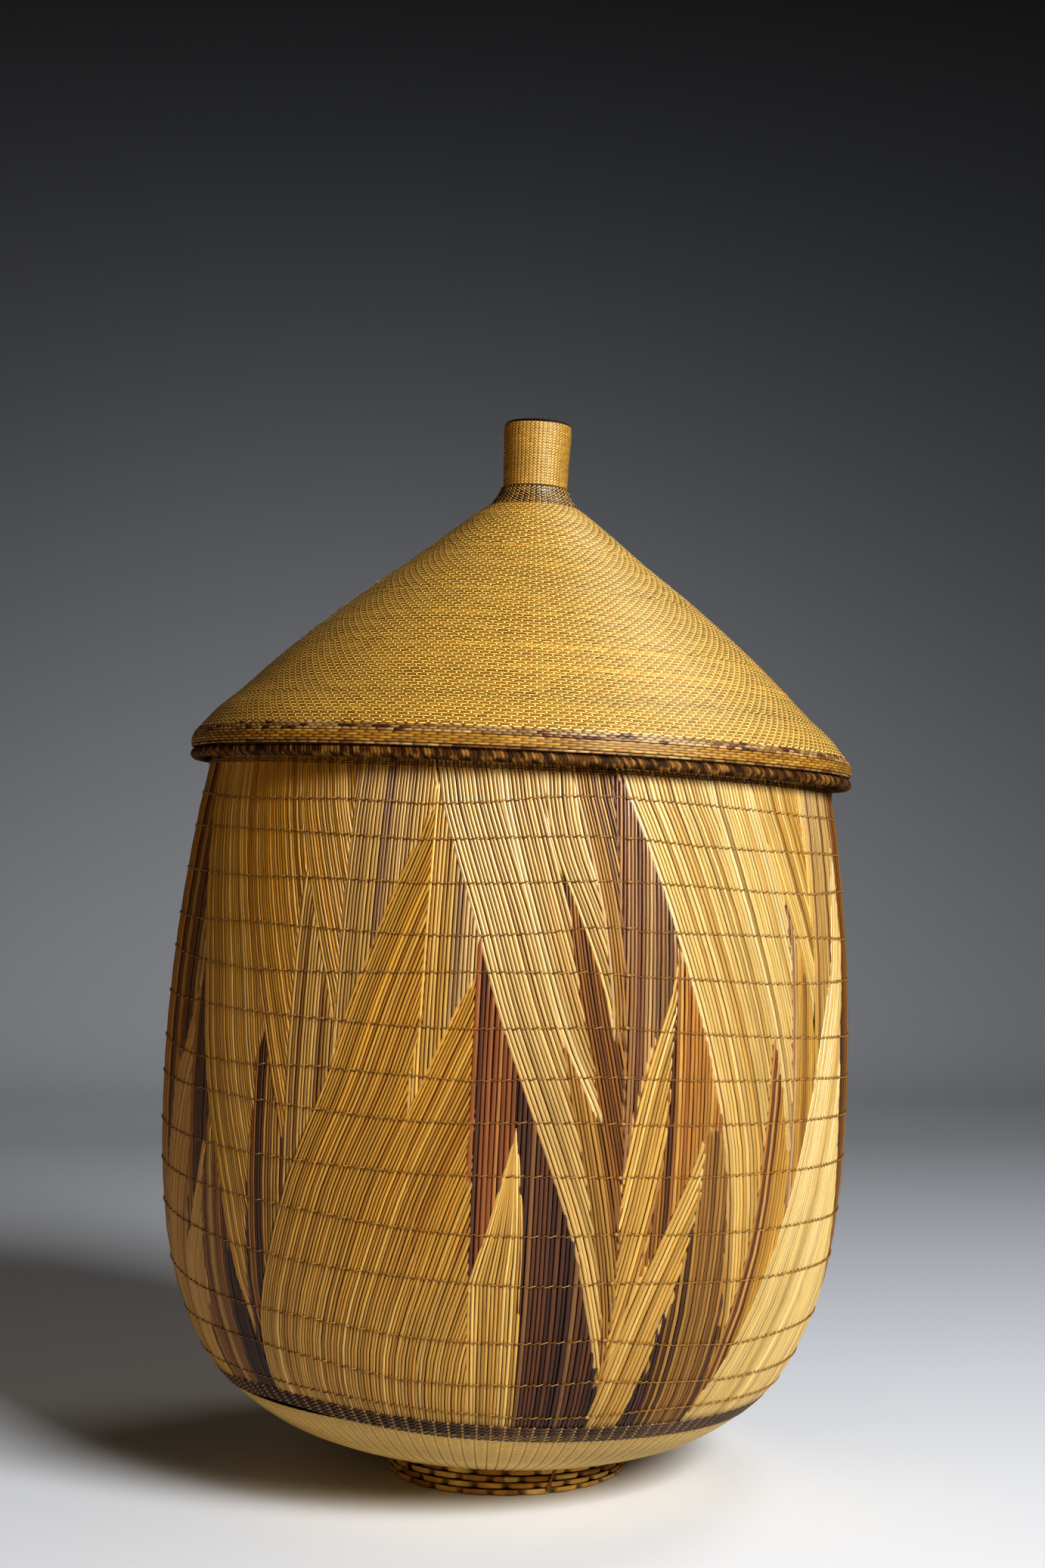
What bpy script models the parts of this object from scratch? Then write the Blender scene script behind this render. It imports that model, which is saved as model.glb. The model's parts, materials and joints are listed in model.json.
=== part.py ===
"""Lidded stalk basket.

A round belly of standing stalks, sorted by colour into slanted and fanned panels, is tied by
rows of twining. It sits on a woven bowl with a ring foot, under a conical lid that lifts off.

Lengths are in metres and the floor is z = 0. The basket leans, so everything but the foot is
built round its own axis, by radius, angle and height above the bowl's underside, and an empty
tips it. Angles start at the side that faces the viewer, -Y, and grow to the right, +X.
"""

import math

import bmesh
import bpy
from mathutils import Matrix, Vector

# Lean: the axis tips to the right and to the back, and it crosses the plumb line through the
# object's centre at this height above the bowl's underside.
LEAN_RIGHT = math.radians(2.82)
LEAN_BACK = math.radians(1.83)
CROSSING_HEIGHT = 0.199

SEAT_GAP = 0.0003
ROUND_STEPS = 32
SMALL_ROUND_STEPS = 18

# Body: the bowl, a dark band and the wall of stalks share one turned outline.
BASKET_HEIGHT = 0.3748
BELLY_RADIUS = 0.1798
BODY_SHARES = (
    (0.0, 0.3115),
    (0.0043, 0.3671),
    (0.0117, 0.4561),
    (0.0235, 0.5406),
    (0.0406, 0.6285),
    (0.0726, 0.7325),
    (0.1153, 0.8259),
    (0.1686, 0.8915),
    (0.2540, 0.9549),
    (0.3607, 0.9883),
    (0.4781, 1.0),
    (0.5955, 0.9967),
    (0.7236, 0.9783),
    (0.8623, 0.9422),
    (0.9370, 0.9143),
    (1.0, 0.8915),
)

BOWL_HEIGHT = 0.0344
BOWL_THICKNESS = 0.0025
RAISED_WEFTS = 2
RAISED_WEFT_PITCH = 0.0024
RAISED_WEFT_DEPTH = 0.0007

BAND_HEIGHT = 0.0078
BAND_THICKNESS = 0.0032
BAND_WEFTS = 4
BAND_GROOVE = 0.0007

# Stalk panels: each solid stands for many stalks, and its ribs for bundles of them.
STALK_WIDTH = 0.00205
STALKS_PER_RIB = 10
STALK_THICKNESS = 0.0021
RIB_DEPTH = 0.0012
RIB_STEEPEST_SHARE = 0.25
TIP_WIDTH = 0.0015

# Heights on the wall where the panels' edges are given, from its foot to its top.
PANEL_LEVEL_SHARES = (0.0, 0.098, 0.238, 0.378, 0.508, 0.649, 0.779, 0.874, 1.0)

PALE = (0.72, 0.55, 0.30)
GOLD = (0.52, 0.33, 0.11)
TAN = (0.50, 0.36, 0.20)
GREY = (0.34, 0.27, 0.19)
BROWN = (0.24, 0.12, 0.05)
ORANGE = (0.36, 0.16, 0.05)
RED_BROWN = (0.19, 0.065, 0.03)
PURPLE = (0.12, 0.06, 0.045)
DARK = (0.055, 0.03, 0.022)
BOWL_STRAW = (0.50, 0.34, 0.15)
LID_GOLD = (0.44, 0.25, 0.07)
CANE = (0.30, 0.16, 0.06)
THREAD = (0.38, 0.26, 0.11)

# Panels round the wall: the angle of the left edge at each level, in degrees. A panel ends
# where the next one starts, so two equal angles close it to a point.
PANELS = (
    ("panel_01_brown", BROWN, (-110, -110, -110, -110, -110, -110, -110, -110, -110)),
    ("panel_02_gold", GOLD, (-79, -79, -75.5, -72.5, -70, -67.5, -67.5, -67.5, -70)),
    ("panel_03_dark", PURPLE, (-60, -61, -61.5, -60, -63, -67.5, -67.5, -67.5, -70)),
    ("panel_04_brown", BROWN, (-60, -61, -59.5, -53, -56.5, -60, -64.5, -67.5, -70)),
    ("panel_05_pale", PALE, (-44, -43.5, -48.5, -53, -56.5, -60, -64.5, -67.5, -70)),
    ("panel_06_brown", BROWN, (-44, -43.5, -43.5, -42.5, -38, -35, -35.5, -36, -36)),
    ("panel_07_tan", TAN, (-44, -43.5, -38, -32.5, -27, -31, -35.5, -36, -36)),
    ("panel_08_gold", GOLD, (-44, -43.5, -38, -32.5, -27, -22, -17.5, -14, -14.5)),
    ("panel_09_tan", TAN, (-12, -12.5, -13, -14.5, -14, -13.5, -13.5, -14, -14.5)),
    ("panel_10_gold", GOLD, (-12, -12.5, -13, -14.5, -11, -5.5, -9, -12.5, -14.5)),
    ("panel_11_dark", DARK, (4, 4, 4, -1.5, -5, -5.5, -9, -12.5, -14.5)),
    ("panel_12_pale", PALE, (18.5, 16.5, 12.5, 6.5, 1, -4, -9, -12.5, -14.5)),
    ("panel_13_grey", GREY, (18.5, 19, 18, 16.5, 12.5, 9.5, 8, 8, 9)),
    ("panel_14_red_brown", RED_BROWN, (18.5, 19, 19, 18.5, 18, 17.5, 16.5, 16, 15)),
    ("panel_15_gold", GOLD, (18.5, 19, 19, 18.5, 21.5, 26.5, 23, 19, 15)),
    ("panel_16_orange", ORANGE, (18.5, 19, 23, 25, 26, 26.5, 23, 19, 15)),
    ("panel_17_gold", GOLD, (18.5, 19, 24, 31, 33.5, 28, 23, 19, 15)),
    ("panel_18_grey", GREY, (24.5, 27, 30, 31, 33.5, 28, 23, 19, 15)),
    ("panel_19_pale", PALE, (40, 40, 38, 36.5, 33.5, 28, 23, 19, 15)),
    ("panel_20_orange", ORANGE, (40, 40, 43, 44.5, 48.5, 53.5, 57, 56.5, 56)),
    ("panel_21_tan", TAN, (40, 44, 49.5, 54.5, 59, 58, 57, 56.5, 56)),
    ("panel_22_pale", PALE, (40, 44, 49.5, 54.5, 59, 65.5, 68.5, 70.5, 69)),
    ("panel_23_brown", BROWN, (88, 86, 82, 78, 75, 73.5, 72, 70.5, 69)),
    ("panel_24_gold", GOLD, (169, 169, 154, 140, 127, 114, 102, 88, 88)),
    ("panel_25_brown", BROWN, (169, 169, 169, 169, 169, 169, 169, 169, 169)),
    ("panel_26_gold", GOLD, (250, 250, 236, 222, 209, 196, 183, 169, 169)),
)

# Twining rows, from the lowest up: the height share on the wall, and how much of the full
# tilt the row has, where plus is higher at the right.
THREAD_RADIUS = 0.0007
THREAD_PROUD_SHARE = 1.6
KNOT_SHARE = 2.2
ROW_TILT = 0.0036
ROW_WAVE = 0.0006
ROW_SHARES = (
    (0.0160, -0.33),
    (0.0648, -1.0),
    (0.1232, -1.1),
    (0.2127, -1.1),
    (0.2837, -1.0),
    (0.3593, 0.0),
    (0.4334, 0.33),
    (0.4913, 0.33),
    (0.5602, 0.33),
    (0.6331, 0.8),
    (0.6997, 1.0),
    (0.7654, 1.0),
    (0.8280, 1.0),
    (0.8828, 1.0),
)
TOP_ROW_SHARE = 0.9241
SEAM_ANGLE_BOTTOM = math.radians(19)
SEAM_ANGLE_TOP = math.radians(15.5)

HOOP_RADIUS = 0.0012
HOOP_SIDES = 6

# Lid: heights from the bottom of its rolled edge. Its rim stands out past the mouth.
LID_OVERHANG = 0.0148
LID_RADIUS = BELLY_RADIUS * BODY_SHARES[-1][1] + LID_OVERHANG
LID_THICKNESS = 0.0034
ROLL_HEIGHT = 0.0062
ROLL_DEPTH = 0.0056
ROLL_SIDES = 6
RIM_ROW_PITCH = 0.0013
RIM_ROW_DEPTH = 0.0016
RIM_ROW_GROOVE = 0.0004
RIM_BANDS = (("rim_lower_row", 1), ("rim_gold_rows", 4), ("rim_accent_rows", 3))
RIM_SHARES = ((0.0, 0.998), (0.35, 1.0), (0.7, 0.992), (1.0, 0.977))
CONE_HEIGHT = 0.1265
CONE_SHARES = (
    (0.0, 0.977),
    (0.0794, 0.9269),
    (0.1556, 0.8647),
    (0.3111, 0.7504),
    (0.4635, 0.6282),
    (0.6190, 0.4917),
    (0.7714, 0.3472),
    (0.8889, 0.2433),
    (0.9651, 0.1730),
    (1.0, 0.1370),
)
NECK_HEIGHT = 0.0098
NECK_SHARES = ((0.0, 1.0), (0.3, 0.90), (0.65, 0.81), (1.0, 0.755))
KNOB_HEIGHT = 0.0335
KNOB_RADIUS = 0.0181
KNOB_SHARES = ((0.0, 0.96), (0.35, 0.97), (0.6, 0.99), (0.88, 1.01), (1.0, 0.98))
KNOB_TOP_HEIGHT = 0.0019
KNOB_TOP_SHARES = ((0.0, 0.98), (0.45, 0.93), (0.8, 0.72), (1.0, 0.0))

# Foot: a ring of uprights with split cane woven round it, under the bowl.
FOOT_HEIGHT = 0.0117
FOOT_FORWARD = 0.0066
FOOT_RADIUS = 0.0602
FOOT_FLARE = 0.0018
FOOT_WALL = 0.0030
FOOT_STEPS = 36
CANE_ROWS = 4
CANE_DEPTH = 0.0018
CANE_UNDER_SHARE = 0.6
TIE_WIDTH = 0.0018
TIE_DEPTH = 0.0008
TIE_KNOT_SHARE = 1.7
# Each tie: its angle at the top and at the bottom, and the height shares it runs between.
TIES = (
    ("foot_tie_left", math.radians(-52), math.radians(-54.5), (0.92, 0.40)),
    ("foot_tie_right", math.radians(23), math.radians(19.5), (0.92, 0.12)),
)

LEAN = Matrix.Rotation(LEAN_RIGHT, 4, "Y") @ Matrix.Rotation(-LEAN_BACK, 4, "X")


def smooth(shares, place):
    """A cubic through the shares: each point's slope is that between its neighbours."""
    last = len(shares) - 1
    place = min(max(place, shares[0][0]), shares[last][0])
    k = min(sum(place >= x for x, _ in shares) - 1, last - 1)
    slopes = []
    for i in (k, k + 1):
        low = shares[max(i - 1, 0)]
        high = shares[min(i + 1, last)]
        slopes.append((high[1] - low[1]) / (high[0] - low[0]))
    step = shares[k + 1][0] - shares[k][0]
    t = (place - shares[k][0]) / step
    rise = shares[k + 1][1] - shares[k][1]
    bend = (slopes[0] * (1 - t) - slopes[1] * t) * step - rise * (1 - 2 * t)
    return shares[k][1] + rise * t + bend * t * (1 - t)


def read_line(points, place):
    """The second value on a line of (value, value) points, straight between them."""
    points = sorted(points)
    place = min(max(place, points[0][0]), points[-1][0])
    for low, high in zip(points, points[1:]):
        if place <= high[0] and high[0] > low[0]:
            return low[1] + (high[1] - low[1]) * (place - low[0]) / (high[0] - low[0])
    return points[-1][1]


def at(radius, angle, height):
    return Vector((radius * math.sin(angle), -radius * math.cos(angle), height))


def body_radius(height):
    return BELLY_RADIUS * smooth(BODY_SHARES, height / BASKET_HEIGHT)


def band_bottom():
    return BOWL_HEIGHT + SEAT_GAP


def wall_bottom():
    return band_bottom() + BAND_HEIGHT + SEAT_GAP


def wall_height_at(share):
    return wall_bottom() + (BASKET_HEIGHT - wall_bottom()) * share


def material(name, colour, roughness=0.75):
    made = bpy.data.materials.new(name)
    made.use_nodes = True
    shader = made.node_tree.nodes["Principled BSDF"]
    shader.inputs["Base Color"].default_value = (*colour, 1)
    shader.inputs["Roughness"].default_value = roughness
    return made


def place(name, mesh, colour, parent=None):
    """Turns the bmesh into a named object with its own material, shaded smooth."""
    bmesh.ops.recalc_face_normals(mesh, faces=mesh.faces)
    data = bpy.data.meshes.new(name)
    mesh.to_mesh(data)
    mesh.free()
    data.materials.append(material(name, colour))
    data.shade_smooth()
    data.set_sharp_from_angle(angle=math.radians(40))
    made = bpy.data.objects.new(name, data)
    made.parent = parent
    bpy.context.collection.objects.link(made)
    return made


def loft(sections, closed=False):
    """Skins loops of as many points each, capped at both ends or joined into a ring."""
    mesh = bmesh.new()
    loops = [[mesh.verts.new(point) for point in section] for section in sections]
    pairs = list(zip(loops, loops[1:]))
    if closed:
        pairs.append((loops[-1], loops[0]))
    else:
        mesh.faces.new(loops[0])
        mesh.faces.new(loops[-1])
    for low, high in pairs:
        for i in range(len(low)):
            j = (i + 1) % len(low)
            mesh.faces.new((low[i], low[j], high[j], high[i]))
    return mesh


def turned(outline, steps, ring=True):
    """Spins a (radius, height) outline. One that is no ring starts and ends on the axis."""
    mesh = bmesh.new()
    points = [mesh.verts.new(at(radius, 0, height)) for radius, height in outline]
    edges = [mesh.edges.new(pair) for pair in zip(points, points[1:])]
    if ring:
        edges.append(mesh.edges.new((points[-1], points[0])))
    bmesh.ops.spin(
        mesh,
        geom=points + edges,
        cent=(0, 0, 0),
        axis=(0, 0, 1),
        angle=2 * math.pi,
        steps=steps,
    )
    bmesh.ops.remove_doubles(mesh, verts=mesh.verts, dist=SEAT_GAP / 30)
    return mesh


def inset_line(points, distance):
    """Moves an outline that runs upwards in towards the axis. Its ends keep their heights."""
    moved = []
    for i, (radius, height) in enumerate(points):
        normals = []
        for low, high in ((i - 1, i), (i, i + 1)):
            if low < 0 or high >= len(points):
                continue
            along = Vector(points[high]) - Vector(points[low])
            normals.append(Vector((-along.y, along.x)).normalized())
        middle = sum(normals, Vector((0, 0))).normalized()
        reach = distance / middle.dot(normals[0])
        if len(normals) == 1:
            moved.append((radius - distance / abs(middle.x), height))
        else:
            moved.append((radius + middle.x * reach, height + middle.y * reach))
    return moved


def bowl_lines():
    """The bowl's outer outline, from its underside up, plain and with its raised wefts."""
    heights = [x * BASKET_HEIGHT for x, _ in BODY_SHARES if x * BASKET_HEIGHT < BOWL_HEIGHT]
    plain = [(body_radius(height), height) for height in heights]
    raised = [line for line in plain if line[1] < BOWL_HEIGHT - RAISED_WEFTS * RAISED_WEFT_PITCH]
    for i in reversed(range(RAISED_WEFTS)):
        top = BOWL_HEIGHT - i * RAISED_WEFT_PITCH
        middle = top - RAISED_WEFT_PITCH / 2
        low = top - RAISED_WEFT_PITCH
        raised.append((body_radius(low), low))
        raised.append((body_radius(middle) + RAISED_WEFT_DEPTH, middle))
    plain.append((body_radius(BOWL_HEIGHT), BOWL_HEIGHT))
    raised.append(plain[-1])
    return plain, raised


def make_bowl(axis):
    plain, raised = bowl_lines()
    floor = [(0, BOWL_THICKNESS)]
    inner = [point for point in inset_line(plain, BOWL_THICKNESS) if point[1] > BOWL_THICKNESS]
    reach = read_line([(h, r) for r, h in inset_line(plain, BOWL_THICKNESS)], BOWL_THICKNESS)
    floor.append((reach, BOWL_THICKNESS))
    outline = [(0, 0)] + raised + inner[::-1] + floor[::-1]
    place("bowl", turned(outline, ROUND_STEPS, ring=False), BOWL_STRAW, axis)


def make_dark_band(axis):
    pitch = BAND_HEIGHT / BAND_WEFTS
    outline = []
    for i in range(BAND_WEFTS):
        groove = band_bottom() + i * pitch
        crest = groove + pitch / 2
        outline.append((body_radius(groove) - BAND_GROOVE, groove))
        outline.append((body_radius(crest), crest))
    top = band_bottom() + BAND_HEIGHT
    outline.append((body_radius(top) - BAND_GROOVE, top))
    outline.append((body_radius(top) - BAND_THICKNESS, top))
    outline.append((body_radius(band_bottom()) - BAND_THICKNESS, band_bottom()))
    place("dark_band", turned(outline, ROUND_STEPS), DARK, axis)


def panel_section(left, right, ribs):
    """One closed loop across a panel: ribs outside from left to right, plain inside."""
    inset = SEAT_GAP / 2
    ends = []
    for point, side in ((left, 1), (right, -1)):
        radius = math.hypot(point.x, point.y)
        angle = math.atan2(point.x, -point.y)
        ends.append((radius, angle + side * inset / radius))
    (low_radius, start), (high_radius, end) = ends
    if end < start - math.pi / 2:
        end += 2 * math.pi
    width = (end - start) * low_radius
    depth = min(RIB_DEPTH, RIB_STEEPEST_SHARE * width / ribs)
    loop = []
    for i in range(2 * ribs + 1):
        share = i / (2 * ribs)
        radius = low_radius + (high_radius - low_radius) * share
        sunk = 0 if i % 2 else depth
        loop.append(at(radius - sunk, start + (end - start) * share, left.z))
    inside = max(1, math.ceil(ribs / 3))
    for i in reversed(range(inside + 1)):
        share = i / inside
        radius = low_radius + (high_radius - low_radius) * share - STALK_THICKNESS
        loop.append(at(radius, start + (end - start) * share, left.z))
    return loop


def make_panel(axis, name, colour, lefts, rights):
    """A shell between two edges that run straight from level to level, to a point at each
    end where the edges meet."""
    levels = []
    for share, left, right in zip(PANEL_LEVEL_SHARES, lefts, rights):
        height = wall_height_at(share)
        radius = body_radius(height)
        edges = [at(radius, math.radians(angle), height) for angle in (left, right)]
        levels.append((radius * math.radians(right - left), *edges))
    widest = max(width for width, _, _ in levels)
    ribs = max(1, round(widest / (STALK_WIDTH * STALKS_PER_RIB)))
    sections = []
    least = TIP_WIDTH + SEAT_GAP
    for k, (width, left, right) in enumerate(levels):
        if width >= least:
            sections.append(panel_section(left, right, ribs))
        if k + 1 == len(levels):
            break
        next_width, next_left, next_right = levels[k + 1]
        if (width >= least) != (next_width >= least):
            part = (least - width) / (next_width - width)
            tip = (left.lerp(next_left, part), right.lerp(next_right, part))
            sections.append(panel_section(*tip, ribs))
    place(name, loft(sections), colour, axis)


def make_panels(axis):
    for i, (name, colour, lefts) in enumerate(PANELS):
        rights = PANELS[(i + 1) % len(PANELS)][2]
        if i + 1 == len(PANELS):
            rights = [angle + 360 for angle in rights]
        make_panel(axis, name, colour, lefts, rights)


def make_twining_row(axis, name, share, tilt, number):
    """A three-sided thread round the wall, thickest at the knot that closes it."""
    seam = SEAM_ANGLE_BOTTOM + (SEAM_ANGLE_TOP - SEAM_ANGLE_BOTTOM) * share
    sections = []
    for step in range(ROUND_STEPS):
        angle = seam + 2 * math.pi * step / ROUND_STEPS
        wave = math.sin(4 * angle + 2 * number) + math.sin(7 * angle + 5 * number)
        height = wall_height_at(share) + ROW_TILT * tilt * math.sin(angle) + ROW_WAVE * wave
        size = THREAD_RADIUS * (1 if step else KNOT_SHARE)
        section = []
        for up, out in ((-size, 0), (0, THREAD_PROUD_SHARE * size), (size, 0)):
            clear = body_radius(height + up) + SEAT_GAP
            section.append(at(clear / math.cos(math.pi / ROUND_STEPS) + out, angle, height + up))
        sections.append(section)
    place(name, loft(sections, closed=True), THREAD, axis)


def make_twining_rows(axis):
    for i, (share, tilt) in enumerate(ROW_SHARES):
        make_twining_row(axis, f"twining_row_{i + 1:02d}", share, tilt, i)
    make_twining_row(axis, "twining_row_top", TOP_ROW_SHARE, 0, len(ROW_SHARES))


def hoop_outline():
    """The hoop lies on the middle of the wall's top edge."""
    middle = BASKET_HEIGHT + SEAT_GAP + HOOP_RADIUS
    radius = body_radius(BASKET_HEIGHT) - STALK_THICKNESS / 2
    outline = []
    for i in range(HOOP_SIDES):
        angle = 2 * math.pi * i / HOOP_SIDES
        outline.append(
            (radius + HOOP_RADIUS * math.cos(angle), middle + HOOP_RADIUS * math.sin(angle))
        )
    return outline


def rim_bottom():
    return ROLL_HEIGHT + SEAT_GAP


def rim_top():
    rows = sum(count for _, count in RIM_BANDS)
    return rim_bottom() + rows * RIM_ROW_PITCH + len(RIM_BANDS) * SEAT_GAP


def rim_share(height):
    return (height - rim_bottom()) / (rim_top() - rim_bottom())


def rim_radius(height):
    return LID_RADIUS * smooth(RIM_SHARES, rim_share(height))


def rim_back_radius(height):
    """The rows bulge, but their backs lie on one straight cone."""
    low, high = RIM_SHARES[0][1], RIM_SHARES[-1][1]
    return LID_RADIUS * (low + (high - low) * rim_share(height)) - RIM_ROW_DEPTH


def lid_line():
    """The lid's outer outline, from the foot of its rim rows to the top of the cone."""
    line = [(rim_radius(rim_bottom()), rim_bottom())]
    for height_share, radius_share in CONE_SHARES:
        line.append((LID_RADIUS * radius_share, rim_top() + CONE_HEIGHT * height_share))
    return line


def lid_top():
    return rim_top() + CONE_HEIGHT


def lid_inner_line():
    """The lid's inner outline, from the bottom up to the underside of its closed top."""
    ceiling = lid_top() - LID_THICKNESS
    line = inset_line(lid_line(), LID_THICKNESS)
    reach = read_line([(h, r) for r, h in line], ceiling)
    return [point for point in line if point[1] < ceiling] + [(reach, ceiling)]


def lid_seat_height():
    """Where the lid's inner side comes to rest on the hoop."""
    rests = [height - read_line(lid_inner_line(), radius) for radius, height in hoop_outline()]
    return max(rests) + SEAT_GAP


def make_lid_shell(axis):
    cone = [point for point in lid_line() if point[1] >= rim_top()]
    skirt = [(rim_back_radius(height) - SEAT_GAP, height) for height in (rim_top(), rim_bottom())]
    outline = [(0, lid_top())] + cone[::-1] + skirt + lid_inner_line()
    outline.append((0, lid_top() - LID_THICKNESS))
    place("lid_shell", turned(outline, ROUND_STEPS, ring=False), LID_GOLD, axis)


def make_rim_bands(axis):
    low = rim_bottom()
    colours = {"rim_lower_row": PURPLE, "rim_gold_rows": LID_GOLD, "rim_accent_rows": PURPLE}
    for name, count in RIM_BANDS:
        high = low + count * RIM_ROW_PITCH
        outline = []
        for i in range(count):
            groove = low + i * RIM_ROW_PITCH
            crest = groove + RIM_ROW_PITCH / 2
            outline.append((rim_radius(groove) - RIM_ROW_GROOVE, groove))
            outline.append((rim_radius(crest), crest))
        outline.append((rim_radius(high) - RIM_ROW_GROOVE, high))
        back = [(rim_back_radius(height), height) for height in (high, low)]
        place(name, turned(outline + back, ROUND_STEPS), colours[name], axis)
        low = high + SEAT_GAP


def make_rolled_edge(axis):
    middle = ROLL_HEIGHT / 2
    radius = LID_RADIUS - ROLL_DEPTH / 2
    outline = []
    for i in range(ROLL_SIDES):
        angle = 2 * math.pi * (i + 0.5) / ROLL_SIDES
        out = ROLL_DEPTH / 2 * math.cos(angle)
        outline.append((radius + out, middle + middle * math.sin(angle)))
    place("rolled_edge", turned(outline, ROUND_STEPS), PURPLE, axis)


def solid_outline(shares, radius, low, height):
    line = [(radius * width, low + height * rise) for rise, width in shares if width]
    return [(0, low)] + line + [(0, low + height)]


def make_neck_and_knob(axis):
    low = lid_top() + SEAT_GAP
    neck_radius = LID_RADIUS * CONE_SHARES[-1][1]
    neck = solid_outline(NECK_SHARES, neck_radius, low, NECK_HEIGHT)
    place("neck_band", turned(neck, SMALL_ROUND_STEPS, ring=False), DARK, axis)
    low += NECK_HEIGHT + SEAT_GAP
    knob = solid_outline(KNOB_SHARES, KNOB_RADIUS, low, KNOB_HEIGHT)
    place("knob", turned(knob, SMALL_ROUND_STEPS, ring=False), LID_GOLD, axis)
    low += KNOB_HEIGHT + SEAT_GAP
    cap = solid_outline(KNOB_TOP_SHARES, KNOB_RADIUS, low, KNOB_TOP_HEIGHT)
    place("knob_top", turned(cap, SMALL_ROUND_STEPS, ring=False), CANE, axis)


def underside_z(x, y, tip):
    """The height of the bowl's underside over a point of the floor."""
    outline = [(0, 0)]
    for height, radius in BODY_SHARES:
        outline.append((BELLY_RADIUS * radius, BASKET_HEIGHT * height))
    back = tip.inverted()
    z = FOOT_HEIGHT
    for _ in range(8):
        local = back @ Vector((x, y, z))
        z += read_line(outline, math.hypot(local.x, local.y)) - local.z
    return z - SEAT_GAP


def foot_point(radius, angle, share, tip):
    """A point round the foot, at a share of the room under the bowl."""
    flared = radius + FOOT_FLARE * share
    point = at(flared, angle, 0)
    point.y -= FOOT_FORWARD
    point.z = share * underside_z(point.x, point.y, tip)
    return point


def make_foot_uprights(tip):
    sections = []
    corners = ((0, 0), (0, 1), (-FOOT_WALL, 1), (-FOOT_WALL, 0))
    for step in range(FOOT_STEPS):
        angle = 2 * math.pi * step / FOOT_STEPS
        section = [foot_point(FOOT_RADIUS + out, angle, share, tip) for out, share in corners]
        sections.append(section)
    place("foot_uprights", loft(sections, closed=True), CANE)


def make_cane_rows(tip):
    """Each row passes over two uprights and under two, and the next row the other way."""
    gap_share = SEAT_GAP / FOOT_HEIGHT
    row_share = (1 - (CANE_ROWS + 1) * gap_share) / CANE_ROWS
    inner = FOOT_RADIUS + SEAT_GAP
    for row in range(CANE_ROWS):
        low = gap_share + row * (row_share + gap_share)
        high = low + row_share
        sections = []
        for step in range(FOOT_STEPS):
            angle = 2 * math.pi * step / FOOT_STEPS
            over = (step // 2 + row) % 2
            outer = inner + CANE_DEPTH * (1 if over else CANE_UNDER_SHARE)
            corners = ((inner, low), (outer, low), (outer, high), (inner, high))
            sections.append([foot_point(radius, angle, share, tip) for radius, share in corners])
        place(f"foot_cane_row_{row + 1}", loft(sections, closed=True), CANE)


def make_foot_ties(tip):
    inner = FOOT_RADIUS + CANE_DEPTH + 2 * SEAT_GAP
    for name, top_angle, bottom_angle, (top, bottom) in TIES:
        sections = []
        for part, size in ((0, 1), (0.4, 1), (0.75, TIE_KNOT_SHARE), (1, 1)):
            angle = top_angle + (bottom_angle - top_angle) * part
            share = top + (bottom - top) * part
            half = TIE_WIDTH * size / (2 * FOOT_RADIUS)
            outer = inner + TIE_DEPTH * size
            corners = ((inner, -half), (outer, -half), (outer, half), (inner, half))
            section = [foot_point(radius, angle + side, share, tip) for radius, side in corners]
            sections.append(section)
        place(name, loft(sections), CANE)


def make_axes():
    """The leaning axis of the body, and on it the axis along which the lid lifts."""
    lean = LEAN @ Vector((0, 0, 1))
    foot = -lean * CROSSING_HEIGHT / lean.z
    axis = bpy.data.objects.new("leaning_axis", None)
    axis.location = (foot.x, foot.y, FOOT_HEIGHT)
    axis.rotation_euler = LEAN.to_euler()
    lid_axis = bpy.data.objects.new("lid_axis", None)
    lid_axis.parent = axis
    lid_axis.location = (0, 0, lid_seat_height())
    for empty in (axis, lid_axis):
        bpy.context.collection.objects.link(empty)
    bpy.context.view_layer.update()
    return axis, lid_axis


def main():
    for old in list(bpy.data.objects):
        bpy.data.objects.remove(old)
    axis, lid_axis = make_axes()
    tip = axis.matrix_world
    make_foot_uprights(tip)
    make_cane_rows(tip)
    make_foot_ties(tip)
    make_bowl(axis)
    make_dark_band(axis)
    make_panels(axis)
    make_twining_rows(axis)
    place("mouth_hoop", turned(hoop_outline(), ROUND_STEPS), BROWN, axis)
    make_rolled_edge(lid_axis)
    make_rim_bands(lid_axis)
    make_lid_shell(lid_axis)
    make_neck_and_knob(lid_axis)


main()
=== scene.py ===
# %% [markdown]
# # A lidded basket of split stalks
#
# The real basket is made by hand from hundreds of split plant stalks that stand side by side,
# sorted by colour into slanted and fanned panels. Thin two-strand cords tie them, row over row.
# Below the stalks there are a dark woven band, a finely woven bowl and a low foot of split
# cane. A woven cone with a knob is the lid, and it lifts off along the basket's axis.
#
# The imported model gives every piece's place and the bodies that move. This script dresses it.

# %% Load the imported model
import json
import math

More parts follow.
